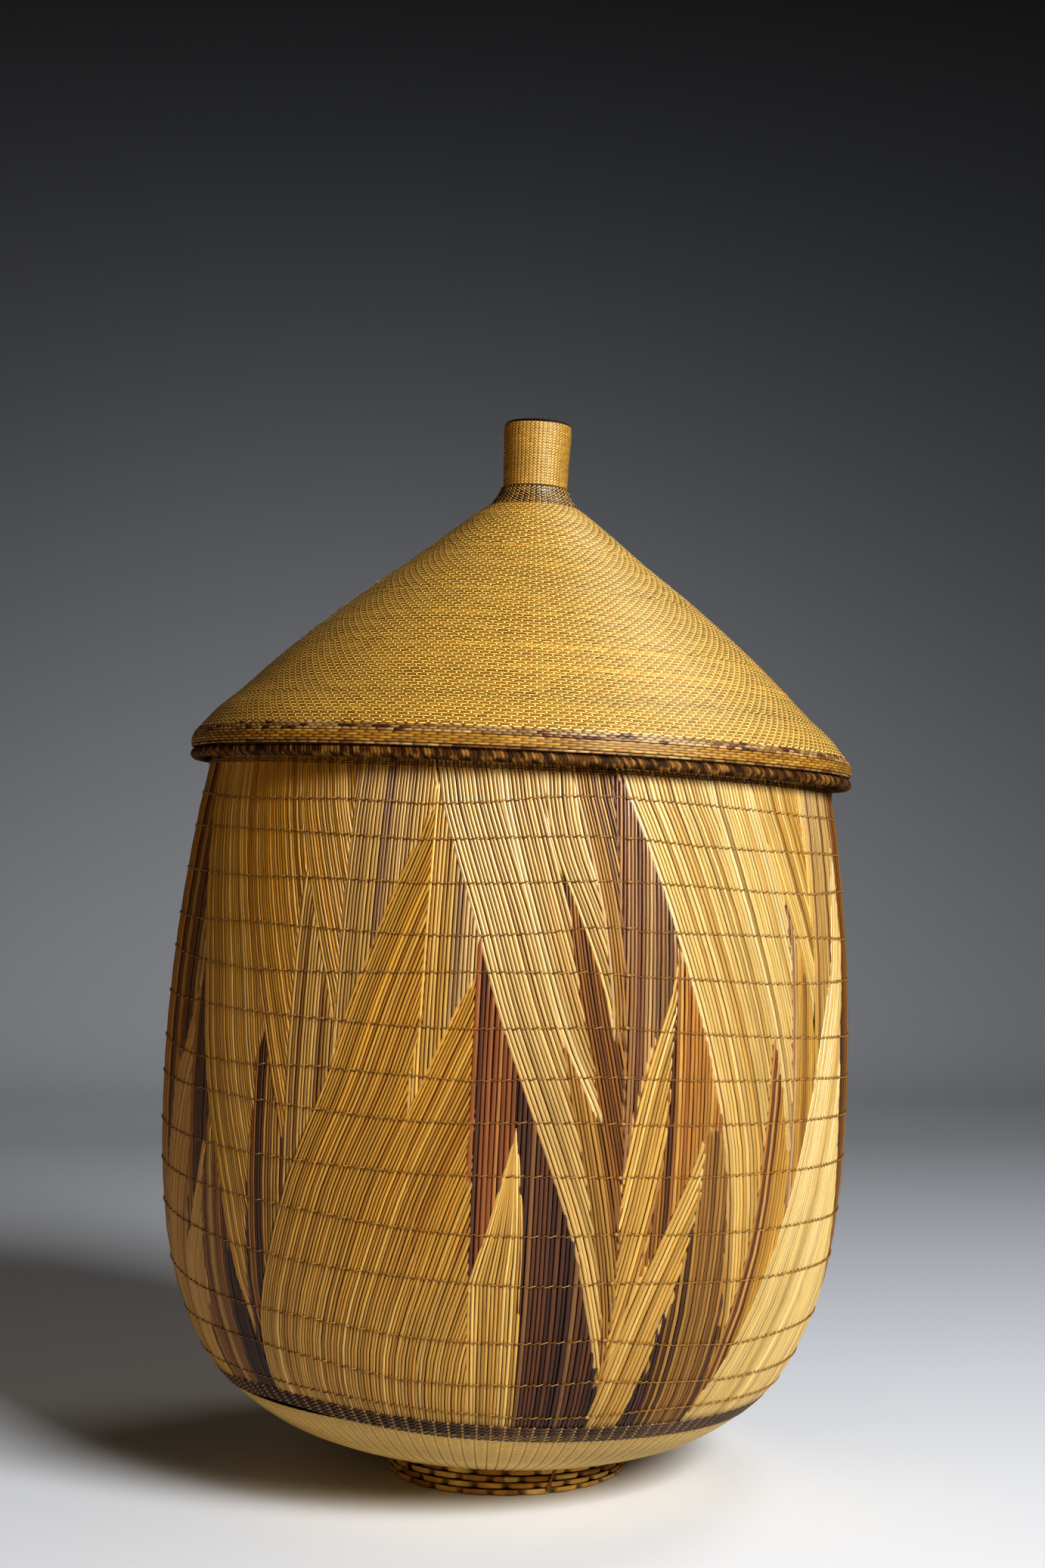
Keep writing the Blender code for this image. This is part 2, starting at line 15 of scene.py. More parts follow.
import bpy
import numpy as np
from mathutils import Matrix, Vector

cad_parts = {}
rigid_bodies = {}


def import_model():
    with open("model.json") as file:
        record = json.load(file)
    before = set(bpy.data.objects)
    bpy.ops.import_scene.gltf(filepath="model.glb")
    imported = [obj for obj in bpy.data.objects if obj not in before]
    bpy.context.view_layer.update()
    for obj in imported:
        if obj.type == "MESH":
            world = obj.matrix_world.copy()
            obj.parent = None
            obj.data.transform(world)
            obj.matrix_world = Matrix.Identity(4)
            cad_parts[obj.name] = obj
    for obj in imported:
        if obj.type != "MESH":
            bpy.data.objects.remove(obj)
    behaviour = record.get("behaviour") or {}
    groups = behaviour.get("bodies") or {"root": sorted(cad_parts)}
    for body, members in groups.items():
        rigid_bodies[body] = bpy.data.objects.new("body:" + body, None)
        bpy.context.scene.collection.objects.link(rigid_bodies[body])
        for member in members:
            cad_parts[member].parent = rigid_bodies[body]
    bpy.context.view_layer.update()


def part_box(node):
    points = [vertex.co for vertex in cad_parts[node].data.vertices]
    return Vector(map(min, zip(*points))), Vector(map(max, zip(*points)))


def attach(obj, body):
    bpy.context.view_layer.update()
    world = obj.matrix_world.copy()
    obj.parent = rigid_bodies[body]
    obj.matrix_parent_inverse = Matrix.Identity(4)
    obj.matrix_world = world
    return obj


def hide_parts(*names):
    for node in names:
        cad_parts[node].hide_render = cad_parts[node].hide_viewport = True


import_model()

# %% [markdown]
# ## The leaning frame
#
# The basket does not stand quite upright: its axis leans a little to the right and back. It is
# easiest to work in the basket's own frame, where the axis is straight up. There a point is
# given by its radius, its angle round the axis and its height. One turning matrix and one shift
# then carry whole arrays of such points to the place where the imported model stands.

# %% From radius, angle and height to the standing basket
MM = 0.001
FOOT_HEIGHT = 0.0117
CROSSING_HEIGHT = 0.199
LEAN_RIGHT = math.radians(2.82)
LEAN_BACK = math.radians(1.83)


def lean_matrix():
    """The turn about the side axis (lean back) followed by the turn about the depth axis."""
    side = np.array([
        [1, 0, 0],
        [0, math.cos(-LEAN_BACK), -math.sin(-LEAN_BACK)],
        [0, math.sin(-LEAN_BACK), math.cos(-LEAN_BACK)],
    ])
    depth = np.array([
        [math.cos(LEAN_RIGHT), 0, math.sin(LEAN_RIGHT)],
        [0, 1, 0],
        [-math.sin(LEAN_RIGHT), 0, math.cos(LEAN_RIGHT)],
    ])
    return depth @ side


LEAN = lean_matrix()
AXIS = LEAN[:, 2]
BOWL_POINT = np.array([
    -AXIS[0] * CROSSING_HEIGHT / AXIS[2],
    -AXIS[1] * CROSSING_HEIGHT / AXIS[2],
    FOOT_HEIGHT,
])


def standing(radius, angle, height):
    """Points in metres: (radius sin angle, -radius cos angle, height), all in millimetres and
    radians, turned by the lean and moved to the bowl's underside. Angle 0 faces the camera."""
    flat = np.stack(np.broadcast_arrays(
        radius * np.sin(angle), -radius * np.cos(angle), height), axis=-1)
    return flat * MM @ LEAN.T + BOWL_POINT


print("axis leans by", np.degrees(np.arccos(AXIS[2])).round(2), "degrees")

# %% [markdown]
# ## Camera and light
#
# The photograph is a tall studio picture, taken from a little above the middle of the basket,
# with the main light high at the right. The left side of the basket falls into warm shade. A
# large soft lamp at the right, a weak one at the left and a dim world do the same here. A small
# high one gives the lid its sheen, and one that faces away lights the backdrop. The last one
# stands behind the basket and shines on the basket alone, so that its back can be seen too,
# while the floor keeps the deep shadow of the photo. The floor is pale, with painted shade that
# darkens it up the back and a little towards the right.

# %% Camera, lamps, world and floor
PHOTO_HEIGHT = 2074
FOCAL_PIXELS = 3380
SENSOR = 36.0
EYE = (0.00849, -1.35865, 0.3596)


def add_camera():
    """A level camera whose focal length is the one that the photo's outline asks for."""
    lens = bpy.data.cameras.new("camera")
    lens.sensor_width = SENSOR
    lens.lens = SENSOR * FOCAL_PIXELS / PHOTO_HEIGHT
    camera = bpy.data.objects.new("camera", lens)
    camera.location = EYE
    camera.rotation_euler = (math.pi / 2, 0, 0)
    bpy.context.scene.collection.objects.link(camera)
    bpy.context.scene.camera = camera


def add_lamp(name, place, target, size, watts, colour):
    """A square soft lamp at a place, pointed at a target."""
    lamp = bpy.data.lights.new(name, "AREA")
    lamp.size = size
    lamp.energy = watts
    lamp.color = colour
    made = bpy.data.objects.new(name, lamp)
    made.location = place
    away = np.array(place) - np.array(target)
    turn = math.atan2(away[1], away[0]) + math.pi / 2
    tip = math.atan2(math.hypot(away[0], away[1]), away[2])
    made.rotation_euler = (tip, 0, turn)
    bpy.context.scene.collection.objects.link(made)
    return made


def set_world(colour, strength):
    """A plain world of one colour."""
    world = bpy.data.worlds.new("studio")
    bpy.context.scene.world = world
    world.use_nodes = True
    background = world.node_tree.nodes["Background"]
    background.inputs["Color"].default_value = (*colour, 1)
    background.inputs["Strength"].default_value = strength


add_camera()
bpy.context.scene.view_settings.view_transform = "Standard"
bpy.context.scene.view_settings.look = "Very High Contrast"
MIDDLE = (0.0, 0.0, 0.25)
add_lamp("key", (1.82, -2.24, 1.85), MIDDLE, 1.28, 103, (0.97, 1.0, 1.03))
add_lamp("fill", (-0.9, -1.7, 0.4), MIDDLE, 1.2, 5.4, (1.0, 0.76, 0.44))
add_lamp("top", (0.88, 0.64, 1.93), MIDDLE, 0.6, 4.0, (1.0, 1.0, 1.0))
backdrop = add_lamp("backdrop", (-0.1, 1.5, 0.9), (-0.1, 2.3, 0.65), 0.9, 2.2, (0.94, 0.96, 1.0))
behind = add_lamp("behind", (0.0, 1.5, 0.45), MIDDLE, 0.8, 6, (1.0, 0.98, 0.94))
backdrop.visible_camera = behind.visible_camera = False
set_world((1.0, 0.98, 0.95), 0.032)

# %% [markdown]
# ## Meshes from whole arrays
#
# Every piece here is one or more grids of points, such as rings along a stalk. A grid's faces
# are the squares between neighbouring points, and a closed grid joins its last column to its
# first. The points, faces, texture coordinates and colours are worked out as whole arrays, and
# `foreach_set` hands them to Blender at once, which is far quicker than adding points one by
# one. The signed volume tells whether the faces point outwards; if not, they are turned round.
# The shades are given as they look in the bright light of the studio, so the fibres themselves
# are about a third darker.

# %% Grids, closed rings and finished pieces
rng = np.random.default_rng(7)
FIBRE_SHADE = 0.665


def circle(count):
    """Angles in radians, at even steps once round."""
    return 2 * np.pi * np.arange(count) / count


def ring_faces(low, high, sides):
    """Squares between rings of `sides` points each. low and high hold each pair of rings'
    first point. Also the corners' own numbers (side, end), counted past the seam."""
    side = np.arange(sides)
    after = (side + 1) % sides
    low, high = low[:, None], high[:, None]
    faces = np.stack([low + side, low + after, high + after, high + side], axis=-1)
    corners = np.stack([
        np.stack([side, side + 1, side + 1, side], axis=-1),
        np.broadcast_to([0, 0, 1, 1], (sides, 4)),
    ], axis=-1)
    corners = np.broadcast_to(corners, (*faces.shape, 2))
    return faces.reshape(-1, 4), corners.reshape(-1, 4, 2)


def grid_faces(rows, columns, closed_columns=True, closed_rows=False):
    """The squares of one grid stored row after row, and each corner's (row, column), counted
    past the seams."""
    row = np.arange(rows if closed_rows else rows - 1)
    column = np.arange(columns if closed_columns else columns - 1)
    row, column = np.meshgrid(row, column, indexing="ij")
    rows4 = np.stack([row, row, row + 1, row + 1], axis=-1).reshape(-1, 4)
    columns4 = np.stack([column, column + 1, column + 1, column], axis=-1).reshape(-1, 4)
    faces = (rows4 % rows) * columns + columns4 % columns
    return faces, np.stack([rows4, columns4], axis=-1)


def lid_faces(first, count):
    """Squares straight across a ring of an even number of points, which close it flat."""
    k = np.arange(count // 2 - 1)
    return np.stack([k, k + 1, count - 2 - k, count - 1 - k], axis=-1) + first


def capped(faces, uv, rows, columns):
    """A grid's faces and texture coordinates, with its first and last ring closed flat."""
    caps = np.concatenate([lid_faces(0, columns)[:, ::-1],
                           lid_faces((rows - 1) * columns, columns)])
    return np.concatenate([faces, caps]), np.concatenate([uv, np.zeros((len(caps), 4, 2))])


def join(pieces):
    """Several (points, faces, coordinates, tones) as one."""
    shift = np.cumsum([0] + [len(piece[0]) for piece in pieces[:-1]])
    faces = [piece[1] + start for piece, start in zip(pieces, shift)]
    points, _, uv, tones = (list(part) for part in zip(*pieces))
    return [np.concatenate(part) for part in (points, faces, uv, tones)]


def signed_volume(points, faces):
    """The sum over the faces of a corner dotted with the face's area vector, a third of it."""
    a, b, c, d = (points[faces[:, i]] for i in range(4))
    return float(np.einsum("ij,ij->", a, np.cross(c - a, d - b)) / 6)


def add_piece(name, points, faces, uv, tone, finish, body, nodes, slot):
    """Puts arrays into a smooth-shaded mesh that rides on a body and stands for CAD nodes."""
    points = np.asarray(points, float).reshape(-1, 3)
    if signed_volume(points, faces) < 0:
        faces, uv = faces[:, ::-1], uv[:, ::-1]
    mesh = bpy.data.meshes.new(name)
    mesh.vertices.add(len(points))
    mesh.vertices.foreach_set("co", points.ravel())
    mesh.loops.add(faces.size)
    mesh.loops.foreach_set("vertex_index", faces.ravel().astype(np.int32))
    mesh.polygons.add(len(faces))
    mesh.polygons.foreach_set("loop_start", np.arange(0, faces.size, 4, dtype=np.int32))
    mesh.polygons.foreach_set("use_smooth", np.ones(len(faces), bool))
    mesh.update(calc_edges=True)
    layer = mesh.uv_layers.new(name="UVMap")
    layer.data.foreach_set("uv", uv.ravel().astype(np.float32))
    colours = mesh.color_attributes.new("tone", "FLOAT_COLOR", "POINT")
    rgba = np.ones((len(points), 4), np.float32)
    rgba[:, :3] = np.clip(np.asarray(tone) * FIBRE_SHADE, 0, 1).reshape(-1, 3)
    colours.data.foreach_set("color", rgba.ravel())
    mesh.materials.append(finish)
    made = bpy.data.objects.new(name, mesh)
    bpy.context.scene.collection.objects.link(made)
    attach(made, body)
    if nodes:
        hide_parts(*nodes)
    print(f"{name}: {2 * len(faces)} triangles, {signed_volume(points, faces) * 1e6:.1f} cm3")


def linear(colour):
    """Screen colour numbers of 0 to 255 as the linear light that shaders use."""
    part = np.asarray(colour, float) / 255
    return np.where(part <= 0.04045, part / 12.92, ((part + 0.055) / 1.055) ** 2.4)


def smooth_line(points, place):
    """A cubic through (place, value) points, whose slope at each is that between its
    neighbours, read at a whole array of places."""
    at, value = np.array(sorted(points), float).T
    slope = np.zeros(len(value))
    slope[1:-1] = (value[2:] - value[:-2]) / (at[2:] - at[:-2])
    slope[0] = (value[1] - value[0]) / (at[1] - at[0])
    slope[-1] = (value[-1] - value[-2]) / (at[-1] - at[-2])
    place = np.clip(place, at[0], at[-1])
    k = np.clip(np.searchsorted(at, place, side="right") - 1, 0, len(at) - 2)
    step = at[k + 1] - at[k]
    t = (place - at[k]) / step
    rise = value[k + 1] - value[k]
    bend = (slope[k] * (1 - t) - slope[k + 1] * t) * step - rise * (1 - 2 * t)
    return value[k] + rise * t + bend * t * (1 - t)


def ease(x):
    """Runs smoothly from 0 to 1: 3x squared less 2x cubed, held outside."""
    x = np.clip(x, 0, 1)
    return x * x * (3 - 2 * x)


# %% [markdown]
# ## Finishes
#
# All the fibres share two effects, so each is a node group that is made once: streaks that run
# along the fibre, and the dots and grooves of fine brick-like weaving. Both read the piece's
# own texture coordinates, so they follow every stalk and strand. The colour of each stalk or
# stitch is stored in the mesh as the attribute `tone`, and the group only varies it.

# %% Node helpers and the two shared effects
def new_group(name, inputs, outputs):
    """An empty node group, with the nodes that stand for its inputs and its outputs."""
    group = bpy.data.node_groups.new(name, "ShaderNodeTree")
    for label, kind, value in inputs:
        socket = group.interface.new_socket(label, in_out="INPUT", socket_type=kind)
        socket.default_value = value
    for label, kind in outputs:
        group.interface.new_socket(label, in_out="OUTPUT", socket_type=kind)
    nodes = group.nodes
    return group, nodes.new("NodeGroupInput"), nodes.new("NodeGroupOutput")


def add_math(tree, operation, a, b=None, c=None):
    """One Math node. Its inputs are numbers or other nodes' outputs."""
    node = tree.nodes.new("ShaderNodeMath")
    node.operation = operation
    for socket, value in zip(node.inputs, (a, b, c)):
        if value is None:
            continue
        if isinstance(value, (int, float)):
            socket.default_value = value
        else:
            tree.links.new(value, socket)
    return node.outputs[0]


def split_uv(tree):
    """The piece's texture coordinates, u and v, as two outputs."""
    uv = tree.nodes.new("ShaderNodeUVMap")
    uv.uv_map = "UVMap"
    parts = tree.nodes.new("ShaderNodeSeparateXYZ")
    tree.links.new(uv.outputs["UV"], parts.inputs[0])
    return parts.outputs[0], parts.outputs[1]


def stretched_noise(tree, vector, detail, stretch=(1, 1, 1), offset=(0, 0, 0)):
    """Noise on coordinates that are stretched and shifted first."""
    mapping = tree.nodes.new("ShaderNodeMapping")
    mapping.inputs["Scale"].default_value = stretch
    mapping.inputs["Location"].default_value = offset
    tree.links.new(vector, mapping.inputs["Vector"])
    noise = tree.nodes.new("ShaderNodeTexNoise")
    noise.inputs["Scale"].default_value = 1.0
    noise.inputs["Detail"].default_value = detail
    tree.links.new(mapping.outputs["Vector"], noise.inputs["Vector"])
    return noise.outputs["Fac"]


def tinted(tree, colour, factor):
    """The colour times a grey factor."""
    node = tree.nodes.new("ShaderNodeVectorMath")
    node.operation = "SCALE"
    tree.links.new(colour, node.inputs[0])
    tree.links.new(factor, node.inputs["Scale"])
    return node.outputs["Vector"]


def make_fibre_group():
    """Fine streaks along the fibre (v), slow blotches, and a height for the bump."""
    group, source, sink = new_group("fibre streaks", (
        ("Tone", "NodeSocketColor", (0.5, 0.3, 0.1, 1)),
        ("Across", "NodeSocketFloat", 9.0),
        ("Along", "NodeSocketFloat", 60.0),
        ("Strength", "NodeSocketFloat", 0.35),
        ("Gloss", "NodeSocketFloat", 0.34),
    ), (("Color", "NodeSocketColor"), ("Height", "NodeSocketFloat"),
        ("Roughness", "NodeSocketFloat")))
    stretched = group.nodes.new("ShaderNodeCombineXYZ")
    for k, (part, label) in enumerate(zip(split_uv(group), ("Across", "Along"))):
        scaled = add_math(group, "MULTIPLY", part, source.outputs[label])
        group.links.new(scaled, stretched.inputs[k])
    streak = stretched_noise(group, stretched.outputs[0], 3.0)
    blotch = stretched_noise(group, stretched.outputs[0], 2.0, (0.12, 0.5, 1), (7, 3, 0))
    both = add_math(group, "ADD", streak, blotch)
    swing = add_math(group, "MULTIPLY", add_math(group, "SUBTRACT", both, 1.0),
                     source.outputs["Strength"])
    factor = add_math(group, "MULTIPLY_ADD", swing, 2.0, 1.0)
    group.links.new(tinted(group, source.outputs["Tone"], factor), sink.inputs["Color"])
    group.links.new(streak, sink.inputs["Height"])
    rough = add_math(group, "MULTIPLY_ADD", blotch, 0.2, source.outputs["Gloss"])
    group.links.new(rough, sink.inputs["Roughness"])
    return group


DOT_REACH = 0.36
DOT_SHARPNESS = 6.0
END_STEEPNESS = 5.0
BUMP_DISTANCE = 0.0003


def make_brick_group():
    """Rows of stitches in brick order: u counts stitches, v counts rows. Puts out a mask of
    slanted dots where stitches meet, and a height that falls at every stitch end and row."""
    group, source, sink = new_group("brick stitches", (
        ("Slant", "NodeSocketFloat", 0.25),
        ("Dot Width", "NodeSocketFloat", 0.13),
        ("Odd Shift", "NodeSocketFloat", 0.5),
    ), (("Dots", "NodeSocketFloat"), ("Height", "NodeSocketFloat")))
    u, v = split_uv(group)
    row = add_math(group, "FLOOR", v)
    off_middle = add_math(group, "SUBTRACT", add_math(group, "SUBTRACT", v, row), 0.5)
    odd = add_math(group, "MULTIPLY", add_math(group, "PINGPONG", row, 1.0),
                   source.outputs["Odd Shift"])
    leaning = add_math(group, "MULTIPLY", off_middle, source.outputs["Slant"])
    along = add_math(group, "ADD", add_math(group, "ADD", u, odd), leaning)
    end = add_math(group, "PINGPONG", along, 0.5)
    half = add_math(group, "MULTIPLY", source.outputs["Dot Width"], 0.5)
    dot = add_math(group, "SUBTRACT", 1.0, add_math(group, "DIVIDE", end, half))
    middle = add_math(group, "SUBTRACT", DOT_REACH, add_math(group, "ABSOLUTE", off_middle))
    sharp = add_math(group, "MULTIPLY", middle, DOT_SHARPNESS)
    dots = add_math(group, "MULTIPLY", dot, sharp)
    node = group.nodes.new("ShaderNodeClamp")
    group.links.new(dots, node.inputs["Value"])
    group.links.new(node.outputs[0], sink.inputs["Dots"])
    bulge = add_math(group, "MINIMUM", add_math(group, "MULTIPLY", end, END_STEEPNESS), 1.0)
    group.links.new(bulge, sink.inputs["Height"])
    return group


FIBRE = make_fibre_group()
BRICKS = make_brick_group()


def place_group(tree, group, **values):
    """One use of a node group, with its inputs set by name."""
    node = tree.nodes.new("ShaderNodeGroup")
    node.node_tree = group
    for label, value in values.items():
        node.inputs[label.replace("_", " ")].default_value = value
    return node


def fibre_material(name, across, along, strength, bump, dots=None, specular=0.5, gloss=0.34):
    """A Principled shader on the tone attribute and the fibre streaks. With dots, a colour
    is mixed in where the brick stitches meet, and the surface is matt there."""
    made = bpy.data.materials.new(name)
    made.use_nodes = True
    tree = made.node_tree
    shader = tree.nodes["Principled BSDF"]
    tone = tree.nodes.new("ShaderNodeVertexColor")
    tone.layer_name = "tone"
    fibre = place_group(tree, FIBRE, Across=across, Along=along, Strength=strength, Gloss=gloss)
    tree.links.new(tone.outputs["Color"], fibre.inputs["Tone"])
    colour, height = fibre.outputs["Color"], fibre.outputs["Height"]
    rough = fibre.outputs["Roughness"]
    if dots:
        bricks = place_group(tree, BRICKS, Slant=dots["slant"], Dot_Width=dots["width"],
                             Odd_Shift=dots.get("odd", 0.5))
        mixed = tree.nodes.new("ShaderNodeMix")
        mixed.data_type = "RGBA"
        mixed.inputs["B"].default_value = (*linear(dots["colour"]), 1)
        share = add_math(tree, "MULTIPLY", bricks.outputs["Dots"], dots["share"])
        tree.links.new(share, mixed.inputs["Factor"])
        tree.links.new(colour, mixed.inputs["A"])
        colour = mixed.outputs["Result"]
        height = add_math(tree, "MULTIPLY_ADD", bricks.outputs["Height"], dots["depth"], height)
        rough = add_math(tree, "MULTIPLY_ADD", bricks.outputs["Dots"], 0.4, rough)
    tree.links.new(colour, shader.inputs["Base Color"])
    tree.links.new(rough, shader.inputs["Roughness"])
    shader.inputs["Specular IOR Level"].default_value = specular
    raised = tree.nodes.new("ShaderNodeBump")
    raised.inputs["Strength"].default_value = bump
    raised.inputs["Distance"].default_value = BUMP_DISTANCE
    tree.links.new(height, raised.inputs["Height"])
    tree.links.new(raised.outputs["Normal"], shader.inputs["Normal"])
    return made


# %% [markdown]
# ## Colours
#
# The weaver sorted the stalks by colour, from pale straw through gold and tan to dyed
# red-brown and nearly black. No two stalks of a sort are quite alike, so each sort is a short
# list of shades with how often each turns up. Every stalk draws one shade and its own
# brightness.

# %% Sorts of stalk
SORTS = {
    "pale": ((5, (232, 199, 132)), (3, (222, 187, 116)), (1, (204, 165, 94)), (1, (238, 212, 154))),
    "flaxen": ((5, (212, 177, 112)), (3, (203, 166, 99)), (1, (187, 147, 82)), (1, (221, 191, 132))),
    "honey": ((5, (210, 170, 94)), (3, (202, 159, 80)), (1, (186, 141, 66)), (1, (220, 186, 116))),
    "straw": ((5, (218, 177, 98)), (3, (206, 163, 84)), (1, (188, 144, 68)), (1, (234, 200, 128))),
    "gold": ((5, (206, 160, 72)), (3, (197, 150, 61)), (1, (180, 131, 50)), (1, (219, 178, 92))),
    "tan": ((4, (200, 162, 94)), (3, (180, 142, 78)), (2, (152, 112, 56)), (2, (214, 180, 118))),
    "umber": ((4, (164, 120, 54)), (3, (136, 94, 43)), (3, (192, 150, 76)), (1, (102, 66, 33))),
    "brown": ((4, (158, 107, 45)), (3, (130, 85, 35)), (2, (184, 134, 60)), (1, (100, 62, 28))),
    "amber": ((4, (188, 136, 64)), (3, (160, 108, 46)), (3, (208, 162, 88)), (1, (122, 74, 36))),
    "russet": ((4, (170, 128, 84)), (2, (204, 168, 120)), (4, (134, 88, 56)), (2, (150, 110, 70))),
    "red": ((4, (158, 100, 50)), (3, (134, 82, 40)), (2, (184, 130, 74)), (1, (102, 62, 32))),
    "auburn": ((4, (168, 130, 86)), (3, (142, 104, 66)), (2, (206, 170, 120)), (1, (118, 84, 54))),
    "purple": ((4, (100, 66, 44)), (3, (82, 52, 36)), (2, (124, 86, 56)), (1, (66, 44, 32))),
    "dark": ((4, (92, 55, 32)), (3, (74, 43, 26)), (2, (114, 73, 43)), (1, (148, 108, 66))),
    "cream": ((4, (208, 174, 122)), (3, (188, 154, 104)), (2, (160, 124, 82)), (2, (222, 192, 146))),
    "even": ((5, (236, 204, 138)), (3, (230, 196, 126)), (2, (220, 184, 112))),
    "drab": ((4, (176, 134, 66)), (3, (148, 105, 50)), (2, (202, 160, 86)), (2, (114, 78, 40))),
}
FADES = {"pale to honey": ("pale", "honey", 70, 290), "gold to straw": ("gold", "straw", 50, 150)}


BRIGHTNESS = {"loc": 1, "scale": 0.08}
BRIGHTEST, DARKEST = 1.25, 0.75


def draw_tones(sort, count, source):
    """A linear colour for each of count stalks: a shade of the sort, times a brightness."""
    weights = np.array([weight for weight, _ in SORTS[sort]], float)
    shades = linear([shade for _, shade in SORTS[sort]])
    picks = source.choice(len(shades), count, p=weights / weights.sum())
    return shades[picks] * source.normal(size=(count, 1), **BRIGHTNESS).clip(DARKEST, BRIGHTEST)


print(len(SORTS), "sorts of stalk")

# %% [markdown]
# ## The wall's outline
#
# The wall bulges like a barrel. Its radius at a height is a smooth curve through a few measured
# widths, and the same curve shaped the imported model, so the stalks lie on its surface.

# %% The barrel curve, in millimetres
BASKET_HEIGHT = 374.8
BELLY_RADIUS = 179.8
WALL_LOW, WALL_HIGH = 42.8, 374.8
BODY_SHARES = (
    (0, 0.3115), (0.0043, 0.3671), (0.0117, 0.4561), (0.0235, 0.5406), (0.0406, 0.6285),
    (0.0726, 0.7325), (0.1153, 0.8259), (0.1686, 0.8915), (0.2540, 0.9549), (0.3607, 0.9883),
    (0.4781, 1.0), (0.5955, 0.9967), (0.7236, 0.9783), (0.8623, 0.9422), (0.9370, 0.9143),
    (1.0, 0.8915),
)


def body_radius(height):
    """The outer radius in millimetres at a height above the bowl's underside."""
    return BELLY_RADIUS * smooth_line(BODY_SHARES, np.asarray(height) / BASKET_HEIGHT)


print("radius at the bottom, belly and mouth:", body_radius([WALL_LOW, 180, WALL_HIGH]).round(1))

# %% [markdown]
# ## Panel edges
#
# Each panel of stalks is bounded by two edges that run down the wall. An edge is a short list
# of points: the angle round the basket in degrees, with 0 facing the camera, and the height
# in millimetres. Edges are read at every millimetre and evened out a little, as a hand-set
# edge has no sharp corners. Three guide lines for the golden panels run along another edge and
# then go their own way.

